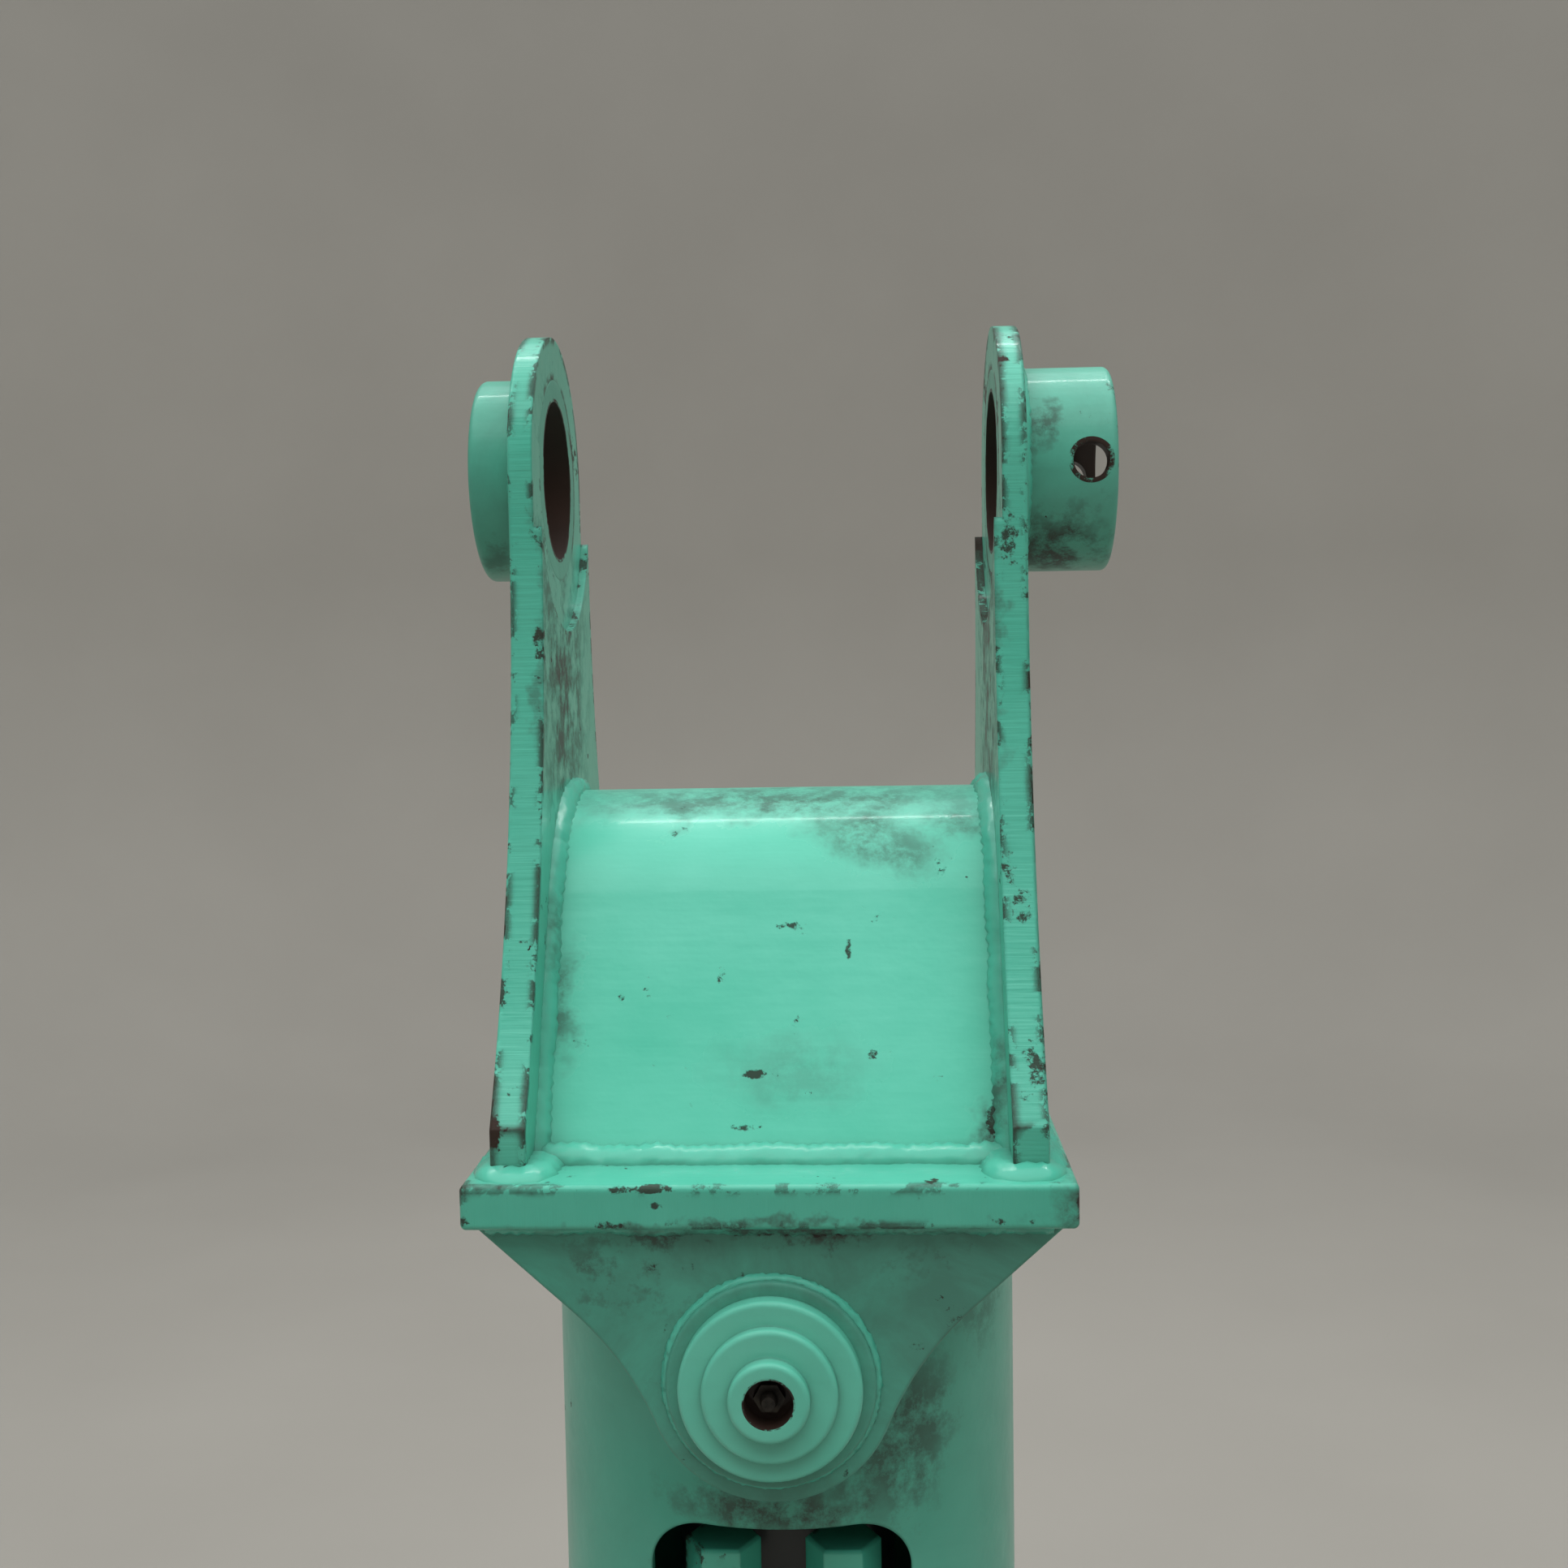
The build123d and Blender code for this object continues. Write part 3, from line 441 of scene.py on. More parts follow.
        # The coat is knocked off close to an edge, in ragged runs.
        reach = add_node(tree, "Bevel", {"samples": 5, "Radius": EDGE_REACH})
        agree = add_node(tree, "VectorMath", {"operation": "DOT_PRODUCT", 0: reach, 1: paint.facing})
        edge = add_node(
            tree, "MapRange", {"From Min": 0.9995, "From Max": 0.975, "Value": agree.outputs["Value"]}
        )
        ragged = add_node(tree, "TexNoise", {"Scale": 95.0, "Detail": 6.0, "Roughness": 0.72, "Vector": place})
        knocked = add_node(tree, "Math", {"operation": "MULTIPLY_ADD", 0: paint.clouds, 1: 1.6, 2: ragged})
        chip = add_node(
            tree, "Math", {"operation": "MULTIPLY_ADD", 0: edge, 1: 0.08 + 0.17 * self.chipping, 2: knocked}
        )
        chip = add_node(tree, "MapRange", {
            "From Min": 1.72 - 0.17 * self.chipping, "From Max": 1.75 - 0.17 * self.chipping, "Value": chip
        })
        scuff_and_shade = self.patch_mask(tree, place, self.scuffs_and_shade)
        if scuff_and_shade is not None:
            scuff_and_shade = add_node(tree, "Math", {"operation": "MULTIPLY_ADD", 0: paint.grit, 1: 4.0, 2: scuff_and_shade})
            scuff_and_shade = add_node(
                tree, "MapRange", {"From Min": 2.62, "From Max": 2.8, "To Max": 0.9, "Value": scuff_and_shade}
            )
        # Stone pits up to 2 mm in radius, about 25 mm apart, in clusters.
        cells = add_node(tree, "TexVoronoi", {"Scale": 42.0, "Randomness": 1.0, "Vector": place})
        pit_size = add_node(
            tree, "MapRange", {"From Min": 0.50, "From Max": 0.64, "To Max": 0.09, "Value": ragged}
        )
        pit = add_node(tree, "Math", {"operation": "LESS_THAN", 0: cells, 1: pit_size})
        wall, worn = self.bore_masks(tree, place)
        if worn is not None:
            worn = add_node(tree, "Math", {"operation": "MULTIPLY", 0: worn, 1: ragged})
            worn = add_node(tree, "MapRange", {"From Min": 0.44, "From Max": 0.5, "Value": worn})
        return join_masks(tree, (chip, scuff_and_shade, pit, join_masks(tree, (wall, worn))))

    def relief(self, paint: PaintInputs, chip: Source) -> Source:
        """Surface relief: orange peel 5 mm across, brush drag, flame-cut ridges, and the step into a chip.

        Args:
            paint: What every layer reads.
            chip: Where the coat is gone.

        Returns:
            The normal that the light meets.
        """
        tree = paint.tree
        peel = add_node(
            tree, "TexNoise", {"Scale": 190.0, "Detail": 2.0, "Roughness": 0.45, "Vector": paint.place}
        )
        dragged = add_node(tree, "Mapping", {"Scale": (14.0, 120.0, 120.0), "Vector": paint.place})
        height = add_node(tree, "TexNoise", {"Scale": 1.0, "Detail": 3.0, "Roughness": 0.5, "Vector": dragged})
        for layer, share in ((peel, 0.6), (self.cut_ridges(paint), 1.1), (chip, -1.2)):
            if layer is not None:
                height = add_node(tree, "Math", {"operation": "MULTIPLY_ADD", 0: layer, 1: share, 2: height})
        rounded = add_node(tree, "Bevel", {"samples": 4, "Radius": COAT_ROUNDING})
        return add_node(
            tree, "Bump", {"Strength": 0.55, "Distance": 0.35 * MM, "Height": height, "Normal": rounded}
        )

    def lay_nodes(self, tree: Tree, place: Source) -> Source:
        """Lay the finish's nodes.

        Args:
            tree: The material's node tree.
            place: Object coordinates.

        Returns:
            The shader.
        """
        clouds, grit = (
            add_node(tree, "TexNoise", {**noise, "Vector": place})
            for noise in (
                {"Scale": 20.0, "Detail": 9.0, "Roughness": 0.68, "Distortion": 0.6},
                {"Scale": 75.0, "Detail": 7.0, "Roughness": 0.75},
            )
        )
        paint = PaintInputs(tree, place, add_node(tree, "NewGeometry").outputs["Normal"], clouds, grit)
        dirt_and_shade = self.soil_and_shade_mask(paint)
        chip = self.chip_mask(paint)
        # The coat's thickness varies over about 100 mm.
        broad = add_node(tree, "TexNoise", {"Scale": 10.0, "Detail": 4.0, "Roughness": 0.55, "Vector": place})
        thin = add_node(tree, "MapRange", {"From Min": 0.35, "From Max": 0.7, "Value": broad})
        colour = add_node(
            tree, "Mix", {"data_type": "RGBA", 0: thin, 6: linear(self.coat), 7: linear(self.faded)}
        ).outputs[2]
        # Dirty patches and painted shade both darken the coat towards one grey.
        colour = add_node(
            tree, "Mix", {"data_type": "RGBA", 0: dirt_and_shade, 6: colour, 7: linear(self.soil_and_shade)}
        ).outputs[2]
        bruise = add_node(
            tree, "Mix", {"data_type": "RGBA", 0: clouds, 6: linear(self.chip_dark), 7: linear(self.chip_rust)}
        ).outputs[2]
        colour = add_node(tree, "Mix", {"data_type": "RGBA", 0: chip, 6: colour, 7: bruise}).outputs[2]
        roughness = add_node(
            tree, "MapRange", {"From Max": 0.8, "To Min": self.gloss_roughness, "To Max": 0.75, "Value": dirt_and_shade}
        )
        roughness = add_node(tree, "Mix", {"data_type": "FLOAT", 0: chip, 2: roughness, 3: 0.85})
        return add_node(tree, "BsdfPrincipled", {
            "IOR": 1.48, "Coat Weight": 0.3, "Coat Roughness": 0.1, "Base Color": colour,
            "Roughness": roughness, "Normal": self.relief(paint, chip),
        })


@dataclass(frozen=True)
class WorkedMetal(Finish):
    """A bare metal surface: turned, ground, plated or cast.

    Attributes:
        name: The material's name.
        bright: Colour of clean metal.
        dull: Colour of oxide or grease film on it.
        film: How much of it the film covers, from 0 to 1.
        roughness: Roughness of clean metal.
        lay: Tool marks per metre along X, Y and Z.
        relief: Depth of the tool marks, in millimetres.
    """

    name: str
    bright: str
    dull: str
    film: float
    roughness: float
    lay: Point
    relief: float = 0.05

    def lay_nodes(self, tree: Tree, place: Source) -> Source:
        """Lay the finish's nodes.

        Args:
            tree: The material's node tree.
            place: Object coordinates.

        Returns:
            The shader.
        """
        clouds = add_node(tree, "TexNoise", {"Scale": 45.0, "Detail": 7.0, "Roughness": 0.65, "Vector": place})
        film = add_node(tree, "MapRange", {
            "From Min": 0.72 - 0.4 * self.film, "From Max": 0.86 - 0.3 * self.film, "Value": clouds
        })
        colour = add_node(
            tree, "Mix", {"data_type": "RGBA", 0: film, 6: linear(self.bright), 7: linear(self.dull)}
        ).outputs[2]
        along = add_node(tree, "Mapping", {"Scale": self.lay, "Vector": place})
        marks = add_node(tree, "TexNoise", {"Scale": 1.0, "Detail": 2.0, "Roughness": 0.5, "Vector": along})
        bump = add_node(tree, "Bump", {"Strength": 0.4, "Distance": self.relief * MM, "Height": marks})
        metallic = add_node(tree, "MapRange", {"To Min": 1.0, "To Max": 0.35, "Value": film})
        roughness = add_node(tree, "MapRange", {"To Min": self.roughness, "To Max": 0.62, "Value": film})
        return add_node(tree, "BsdfPrincipled", {
            "Base Color": colour, "Metallic": metallic, "Roughness": roughness, "Normal": bump
        })


@dataclass(frozen=True)
class MattSurface(Finish):
    """A matt surface in two close tones, such as moulded rubber or rolled-on emulsion paint.

    Attributes:
        name: The material's name.
        base: Its own colour.
        bloom: Colour of the dust or the thinner film on it.
        mottle: The mottle's scale per metre, detail and roughness.
        roughness: Its roughness.
        ior: Its index of refraction.
        grain: Depth of the moulded grain, in millimetres.
    """

    name: str
    base: str
    bloom: str
    mottle: Point
    roughness: float
    ior: float = 1.5
    grain: float = 0.0

    def lay_nodes(self, tree: Tree, place: Source) -> Source:
        """Lay the finish's nodes.

        Args:
            tree: The material's node tree.
            place: Object coordinates.

        Returns:
            The shader.
        """
        noise = dict(zip(("Scale", "Detail", "Roughness"), self.mottle))
        mottle = add_node(tree, "TexNoise", {**noise, "Vector": place})
        tones = {"data_type": "RGBA", 0: mottle, 6: linear(self.base), 7: linear(self.bloom)}
        colour = add_node(tree, "Mix", tones).outputs[2]
        look = {"Roughness": self.roughness, "IOR": self.ior, "Base Color": colour}
        if self.grain:
            depth = {"Strength": 0.3, "Distance": self.grain * MM, "Height": mottle}
            look["Normal"] = add_node(tree, "Bump", depth)
        return add_node(tree, "BsdfPrincipled", look)


def dress(nodes: Sequence[str], finish: Finish) -> None:
    """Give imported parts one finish.

    Args:
        nodes: Names of the parts.
        finish: The finish that they share.
    """
    material = finish.make()
    for name in nodes:
        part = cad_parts[name]
        if not part.material_slots:
            raise ValueError(f"{name} has no material slot")
        for slot in part.material_slots:
            slot.link = "DATA"
            slot.material = material
        log.info("%s wears %s", name, material.name)


# ---- weld beads


@dataclass
class WeldBead:
    """A weld bead laid in a corner and painted over, as a row of overlapping ripples.

    Attributes:
        name: The bead's name.
        path: Points along the corner, in millimetres.
        radius: Radius of the bead in millimetres.
        closed: Whether the bead goes right round.
        ripple: Distance between ripples in millimetres.
        swell: How much a ripple stands out, as a share of the radius.
        seed: Seed of the hand-laid unevenness.
        wander: How far a point of the path may stray, in millimetres.
        flatten: Height left after the bead is laid flat on a level plate, as a share.
    """

    name: str
    path: Path
    radius: float
    closed: bool = False
    ripple: float = 4.2
    swell: float = 0.10
    seed: int = 1
    wander: float = 0.45
    flatten: float = 1.0

    def __post_init__(self) -> None:
        """Let the path wander a little, as a hand-held torch does."""
        hand = random.Random(self.seed)
        self.path = [tuple(c + hand.uniform(-self.wander, self.wander) for c in point) for point in self.path]

    def run_length(self) -> float:
        """Length of the path in metres."""
        points = metres(self.path)
        if self.closed:
            points = points + points[:1]
        return sum((b - a).length for a, b in zip(points, points[1:]))

    def one_ripple(self, pitch: float) -> Piece:
        """Model one ripple as a short open tube, swollen at its middle.

        Args:
            pitch: Its length in metres.

        Returns:
            The ripple, which starts at the origin and points along X.
        """
        deselect_all()
        bpy.ops.mesh.primitive_cylinder_add(
            vertices=14, radius=self.radius * MM, depth=pitch, end_fill_type="NOTHING",
            location=(pitch / 2, 0, 0), rotation=(0, math.pi / 2, 0),
        )
        piece = bpy.context.active_object
        bpy.ops.object.transform_apply(location=True, rotation=True, scale=True)
        set_mode("EDIT")
        bpy.ops.mesh.select_all(action="SELECT")
        bpy.ops.mesh.subdivide(number_cuts=1)
        set_mode("OBJECT")
        middle = [abs(v.co.x - pitch / 2) < pitch * 0.1 for v in piece.data.vertices]
        for vertex, chosen in zip(piece.data.vertices, middle):
            vertex.select = chosen
        for part in (*piece.data.edges, *piece.data.polygons):
            part.select = False
        set_mode("EDIT")
        bpy.ops.mesh.select_mode(type="VERT")
        bpy.ops.transform.resize(value=(1.0, 1 + self.swell, 1 + self.swell), center_override=(pitch / 2, 0, 0))
        set_mode("OBJECT")
        return piece

    def guide(self) -> Piece:
        """Draw the line that the bead follows.

        Returns:
            A curve through the path's points.
        """
        deselect_all()
        bpy.ops.curve.primitive_nurbs_path_add()
        line = bpy.context.active_object
        line.data.splines.clear()
        spline = line.data.splines.new("POLY")
        points = metres(self.path)
        spline.points.add(len(points) - 1)
        for corner, point in zip(spline.points, points):
            corner.co = (*point, 1.0)
        spline.use_cyclic_u = self.closed
        line.data.twist_mode = "MINIMUM"
        return line

    def build(self) -> Piece:
        """Lay the bead along its path.

        Returns:
            The finished bead.
        """
        count = max(round(self.run_length() / (self.ripple * MM)), 3)
        pitch = self.run_length() / count
        line = self.guide()
        piece = self.one_ripple(pitch)
        make_active(piece)
        row = piece.modifiers.new("row", "ARRAY")
        row.fit_type = "FIXED_COUNT"
        row.count = count
        row.use_relative_offset = False
        row.use_constant_offset = True
        row.constant_offset_displace = (pitch, 0, 0)
        row.use_merge_vertices = True
        row.merge_threshold = 0.01 * MM
        follow = piece.modifiers.new("follow", "CURVE")
        follow.object = line
        follow.deform_axis = "POS_X"
        bpy.ops.object.modifier_apply(modifier="row")
        bpy.ops.object.modifier_apply(modifier="follow")
        set_mode("EDIT")
        bpy.ops.mesh.select_all(action="SELECT")
        bpy.ops.mesh.remove_doubles(threshold=0.02 * MM)
        bpy.ops.mesh.fill_holes(sides=20)
        bpy.ops.transform.vertex_random(offset=0.34 * MM, uniform=0.0, normal=0.7, seed=self.seed)
        bpy.ops.mesh.select_all(action="SELECT")
        if self.flatten != 1.0:
            level = self.path[0][2] * MM
            bpy.ops.transform.resize(value=(1.0, 1.0, self.flatten), center_override=(0, 0, level))
        bpy.ops.mesh.normals_make_consistent(inside=False)
        set_mode("OBJECT")
        bpy.ops.object.shade_smooth()
        piece.name = self.name
        piece.data.name = self.name
        bpy.data.objects.remove(line)
        return piece


def circle_path(axis: Direction, centre: Point, radius: float, points: int = 96) -> Path:
    """Points round a circle.

    Args:
        axis: Direction of the circle's axis.
        centre: Its middle, in millimetres.
        radius: Its radius, in millimetres.
        points: How many points.

    Returns:
        The points in millimetres.
    """
    first, second = [i for i in range(3) if i != axis.value]
    ring = []
    for step in range(points):
        turn = 2 * math.pi * step / points
        point = list(centre)
        point[first] += radius * math.cos(turn)
        point[second] += radius * math.sin(turn)
        ring.append(tuple(point))
    return ring


def evenly(half_length: float, steps: int = 24) -> list[float]:
    """Spread places evenly from minus to plus half a length, in millimetres."""
    return [-half_length + 2 * half_length * k / steps for k in range(steps + 1)]


@dataclass
class HitchLooks:
    """The fixed hitch: ears, bosses, saddle, base plate, lugs and pivot pin, with their welds.

    Attributes:
        ear_inner: Distance from the middle to an ear's inner face, in millimetres, as are all sizes here.
        ear_outer: Distance from the middle to an ear's outer face.
        boss_radius: Radius of the stick pin bosses.
        base_top: Height of the base plate's top.
        base_bottom: Height of the base plate's underside.
        crest_radius: Radius of the saddle's crest.
        crest_centre: Height of the crest's centre.
        leg_angle: Angle of the saddle's legs to the base, in degrees.
        ear_foot: Half the length of an ear's foot.
        lug_outer: Distance from the middle to a lug's outer face.
        lug_inner: Distance from the middle to a lug's inner face.
        lug_half_width: Half the width of a lug at the base plate.
        pivot_height: Height of the pivot pin's axis.
        ring_radius: Radius of the rings on the lugs.
    """

    ear_inner: float = 80.5
    ear_outer: float = 92.5
    boss_radius: float = 38.2
    base_top: float = -240.0
    base_bottom: float = -255.0
    crest_radius: float = 60.0
    crest_centre: float = -180.0
    leg_angle: float = 63.5
    ear_foot: float = 116.0
    lug_outer: float = 119.0
    lug_inner: float = 107.0
    lug_half_width: float = 98.5
    pivot_height: float = -308.0
    ring_radius: float = 34.8
    welds: list[Piece] = field(default_factory=list)

    def saddle_path(self) -> Path:
        """Corner between the saddle's outside and the left ear, from one foot over the crest to the other.

        Returns:
            The points in millimetres.
        """
        inset = 1.8
        arc_steps, leg_steps = 32, 8
        leg_slope = math.radians(self.leg_angle)
        lean = math.radians(90 - self.leg_angle)
        radius = self.crest_radius - inset
        x = -(self.ear_inner + inset)
        arc = []
        for step in range(arc_steps + 1):
            turn = lean + (math.pi - 2 * lean) * step / arc_steps
            arc.append((x, -radius * math.cos(turn), self.crest_centre + radius * math.sin(turn)))
        drop = arc[0][2] - (self.base_top - 1.0)
        foot = arc[0][1] - drop / math.tan(leg_slope)
        leg = [
            (x, arc[0][1] + (foot - arc[0][1]) * k / leg_steps, arc[0][2] - drop * k / leg_steps)
            for k in range(leg_steps, 0, -1)
        ]
        return leg + arc + [(x, -y, z) for x, y, z in reversed(leg)]

    def ear_foot_path(self) -> Path:
        """Line round the outside of the left ear's foot.

        Returns:
            The points in millimetres.
        """
        z = self.base_top - 3.0
        out, end, corner = -self.ear_outer + 2.6, self.ear_foot - 2.2, 3.0
        inside = -self.ear_inner + 1.5
        side_steps = 12
        points = [(inside, -99.0, z), (inside, -end + corner, z), (inside - 1.0, -end, z)]
        points.append((out + corner, -end, z))
        for turn in (math.radians(30), math.radians(60)):
            points.append((out + corner * (1 - math.sin(turn)), -end + corner * (1 - math.cos(turn)), z))
        points.append((out, -end + corner, z))
        run = end - corner
        half = points + [(out, -run + run * k / side_steps, z) for k in range(1, side_steps)]
        return half + [(x, -y, z) for x, y, z in reversed(half)]

    def build(self) -> None:
        """Lay the welds of the left ear and the front, and turn a copy of each to the other side."""
        lean = math.radians(90 - self.leg_angle)
        saddle_foot = -(
            math.cos(lean) * self.crest_radius
            + (self.crest_centre + self.crest_radius * math.sin(lean) - self.base_top)
            / math.tan(math.radians(self.leg_angle))
        )
        boss_corner = circle_path(Direction.X, (-self.ear_outer + 0.9, 0, 0), self.boss_radius - 0.9)
        ring_corner = circle_path(
            Direction.Y, (0, -self.lug_outer + 0.4, self.pivot_height), self.ring_radius - 0.4
        )
        foot_line = [(x, saddle_foot + 1.6, self.base_top - 1.6) for x in evenly(self.ear_inner - 2)]
        lug_outer_line, lug_inner_line = (
            [(x, y, self.base_bottom + 1.2) for x in evenly(self.lug_half_width - 5)]
            for y in (-self.lug_outer + 1.2, -self.lug_inner - 1.2)
        )
        runs = (
            (WeldBead("weld_saddle_to_ear_left", self.saddle_path(), 6.6, seed=3), "weld_saddle_to_ear_right"),
            (WeldBead("weld_saddle_foot_front", foot_line, 6.8, seed=5, wander=0.6), "weld_saddle_foot_rear"),
            (WeldBead("weld_ear_foot_left", self.ear_foot_path(), 9.4, seed=7, wander=0.7, flatten=0.78),
             "weld_ear_foot_right"),
            (WeldBead("weld_boss_left", boss_corner, 3.9, closed=True, seed=9, wander=0.25), "weld_boss_right"),
            (WeldBead("weld_lug_front", lug_outer_line, 4.6, seed=11), "weld_lug_rear"),
            (WeldBead("weld_lug_front_inner", lug_inner_line, 4.6, seed=13), "weld_lug_rear_inner"),
            (WeldBead("weld_ring_front", ring_corner, 2.2, closed=True, ripple=2.4, seed=15, wander=0.15),
             "weld_ring_rear"),
        )
        for bead, twin_name in runs:
            piece = bead.build()
            self.welds += [piece, moved_copy(piece, twin_name, HALF_TURN)]
            log.info("%s laid, and its twin", bead.name)

    def dress_ears(self) -> None:
        """Paint the ears and the bosses: chipped along the edges, dirty and darkened by painted shade on the
        inner faces, bare in the pin bore.
        """
        # The inner faces of the ears are darkened: dirty patches, and painted shade between the ears.
        ear_dirt_and_shade = tuple(
            SoftPatch((side * x, y, z), reach, strength)
            for x, y, z, reach, strength in ((79, -14, -70, (7, 80, 140), 1.0), (80, 0, -10, (9, 50, 60), 0.9))
            for side in (-1, 1)
        )
        ear_scuffs = (
            SoftPatch((87, -82, -156), (9, 40, 14), 0.75), SoftPatch((83, -72, -144), (6, 30, 12), 0.8),
            SoftPatch((86, -108, -205), (12, 24, 20), 0.5), SoftPatch((86, -54, -20), (8, 8, 30), 0.6),
            SoftPatch((-92, -90, -186), (6, 30, 12), 0.7), SoftPatch((-86, -116, -226), (12, 8, 14), 0.6),
            SoftPatch((-82, -56, -62), (6, 10, 12), 0.8),
        )
        dress(["ear_plate_left", "ear_plate_right"],
              ChippedEnamel("mint_enamel_on_ears", chipping=1.0, grime_and_shade=0.42, wash=0.08,
                            plate_normal=Direction.X, stains_and_shade=ear_dirt_and_shade, scuffs_and_shade=ear_scuffs))
        boss_dirt = (
            SoftPatch((99, -32, 12), (11, 20, 22), 0.8), SoftPatch((92, -36, 4), (9, 20, 30), 0.7),
            SoftPatch((106, -22, -30), (32, 36, 26), 1.0), SoftPatch((-102, -22, -26), (16, 26, 26), 0.65),
            SoftPatch((116, -30, -18), (14, 20, 16), 0.6),
        )
        pin_bore = Bore(Direction.X, (0, 0, 0), 30.0, rim=1.2)
        bolt_hole = Bore(Direction.Y, (117.0, 0, 0), 6.5, rim=1.8)
        dress(["pin_boss_left", "pin_boss_right"],
              ChippedEnamel("mint_enamel_on_bosses", chipping=0.35, grime_and_shade=0.6, wash=0.3,
                            bores=(pin_bore, bolt_hole), stains_and_shade=boss_dirt))

    def dress_saddle(self) -> None:
        """Paint the saddle and the base plate: clean gloss with scrapes, dirty patches on the crest and
        corners, painted shade under the base plate, and the saddle's enamel painted lighter to look lit.
        """
        saddle_dirt = (
            SoftPatch((32, -42, -129), (30, 26, 17), 0.8), SoftPatch((44, -46, -138), (26, 22, 15), 0.6),
            SoftPatch((66, -38, -126), (24, 24, 14), 0.6), SoftPatch((0, -24, -121), (120, 42, 13), 0.75),
            SoftPatch((-76, -72, -190), (9, 24, 36), 0.7), SoftPatch((8, -82, -212), (40, 24, 16), 0.25),
            SoftPatch((74, -94, -232), (9, 12, 20), 0.85),
        )
        saddle_scuffs = (
            SoftPatch((4.6, -59.6, -165.0), (8.5, 6, 3.4)), SoftPatch((8, -67.7, -181), (4, 5, 2.6)),
            SoftPatch((-53.7, -71.4, -188.7), (2.6, 6, 5.4)), SoftPatch((-51, -84.4, -214.7), (2.4, 4, 2.8)),
            SoftPatch((35, -80.8, -207.6), (3.4, 5, 2.8)), SoftPatch((-5.9, -84.3, -213.5), (13, 5, 2.2)),
            SoftPatch((-8.5, -92.1, -230.1), (6.5, 5, 2.6)), SoftPatch((27, -63.8, -173.4), (2.0, 5, 5.5), 0.6),
            SoftPatch((75.5, -91, -229), (4.0, 9, 11), 0.8), SoftPatch((-72, -94, -236), (6, 6, 3), 0.7),
        )
        # Painted light: the saddle's enamel is made lighter than the other parts' so that it looks brightly lit
        # from above.
        dress(["saddle_plate"],
              ChippedEnamel("mint_enamel_painted_lit_on_saddle", coat="53C1A7", faded="69CEB7", chipping=0.3, grime_and_shade=0.2,
                            stains_and_shade=saddle_dirt, scuffs_and_shade=saddle_scuffs))
        # The last two patches darken the base plate's underside and lower front edge over the lugs: painted
        # shade, partly dirty.
        base_dirt_and_shade = (
            SoftPatch((104, -118, -250), (16, 24, 16), 1.0), SoftPatch((0, -128, -254), (130, 8, 4), 0.7),
            SoftPatch((0, -112, -256), (110, 12, 3), 1.0),
        )
        base_scuffs = (
            SoftPatch((101, -122, -249), (4, 12, 12), 0.85), SoftPatch((-38, -126, -241), (20, 5, 2.8), 0.8),
            SoftPatch((-36, -126, -246.6), (5, 4, 2.6), 0.75), SoftPatch((-54, -126, -253), (12, 6, 3.4), 0.85),
            SoftPatch((77, -126, -252), (22, 6, 3.0), 0.7), SoftPatch((-99, -126, -252), (5, 6, 5), 0.7),
        )
        dress(["base_plate"],
              ChippedEnamel("mint_enamel_on_base_plate", chipping=0.85, grime_and_shade=0.34, wash=0.06,
                            plate_normal=Direction.Z, stains_and_shade=base_dirt_and_shade, scuffs_and_shade=base_scuffs))

    def dress_lugs(self) -> None:
        """Paint the lugs, rings and pivot pin: sheltered under the base plate, so dirty and little chipped,
        with painted shade right under the base plate and the pin head's enamel painted lighter to look lit.
        """
        # The second patch is a dark band along the lugs' tops right under the base plate: painted shade, partly
        # dirty. The others are dirty patches on the lug faces.
        lug_front_dirt_and_shade = (
            SoftPatch((0, -120, -303), (72, 14, 70), 0.7), SoftPatch((0, -120, -256), (124, 16, 14), 1.0),
            SoftPatch((58, -120, -272), (54, 12, 30), 0.7), SoftPatch((-52, -120, -272), (50, 12, 28), 0.75),
        )
        lug_rear_dirt_and_shade = tuple(
            SoftPatch((-s.centre[0], -s.centre[1], s.centre[2]), s.reach, s.strength) for s in lug_front_dirt_and_shade
        )
        # The first two patches lay a dark band of bare steel colour along the lugs' tops right under the base
        # plate: painted shade, partly dirty.
        lug_scuffs_and_shade = (
            SoftPatch((0, -119, -257), (108, 8, 3.6), 0.75), SoftPatch((0, 119, -257), (108, 8, 3.6), 0.75),
            SoftPatch((-34, -119, -270), (22, 8, 9), 0.45),
        )
        dress(["lug_plate_front", "lug_plate_rear"],
              ChippedEnamel("mint_enamel_on_lugs", chipping=0.1, grime_and_shade=0.55, wash=0.5, plate_normal=Direction.Y,
                            stains_and_shade=lug_front_dirt_and_shade + lug_rear_dirt_and_shade, scuffs_and_shade=lug_scuffs_and_shade))
        dress(["lug_ring_front", "lug_ring_rear"],
              ChippedEnamel("mint_enamel_on_rings", chipping=0.2, grime_and_shade=0.6, wash=0.5,
                            stains_and_shade=(SoftPatch((0, 0, -275), (44, 140, 26), 0.8),)))
        # Painted light: the pin head's enamel is made lighter than the other parts' so that its face looks
        # brightly lit. Its recess round the grease nipple is painted dark, partly as shade.
        dress(["pivot_pin", "pin_end_plate"],
              ChippedEnamel("mint_enamel_painted_lit_on_pin_head", coat="56BCA4", faded="6BCBB4", chipping=0.1, grime_and_shade=0.45,
                            wash=0.1, bores=(Bore(Direction.Y, (0, 0, self.pivot_height), 8.0, rim=0.6),)))
        dress(["end_plate_bolts"], ChippedEnamel("mint_enamel_on_end_plate_bolts", chipping=0.9, grime_and_shade=0.5))

    def dress(self) -> None:
        """Give the hitch its finishes."""
        self.dress_ears()
        self.dress_saddle()
        self.dress_lugs()
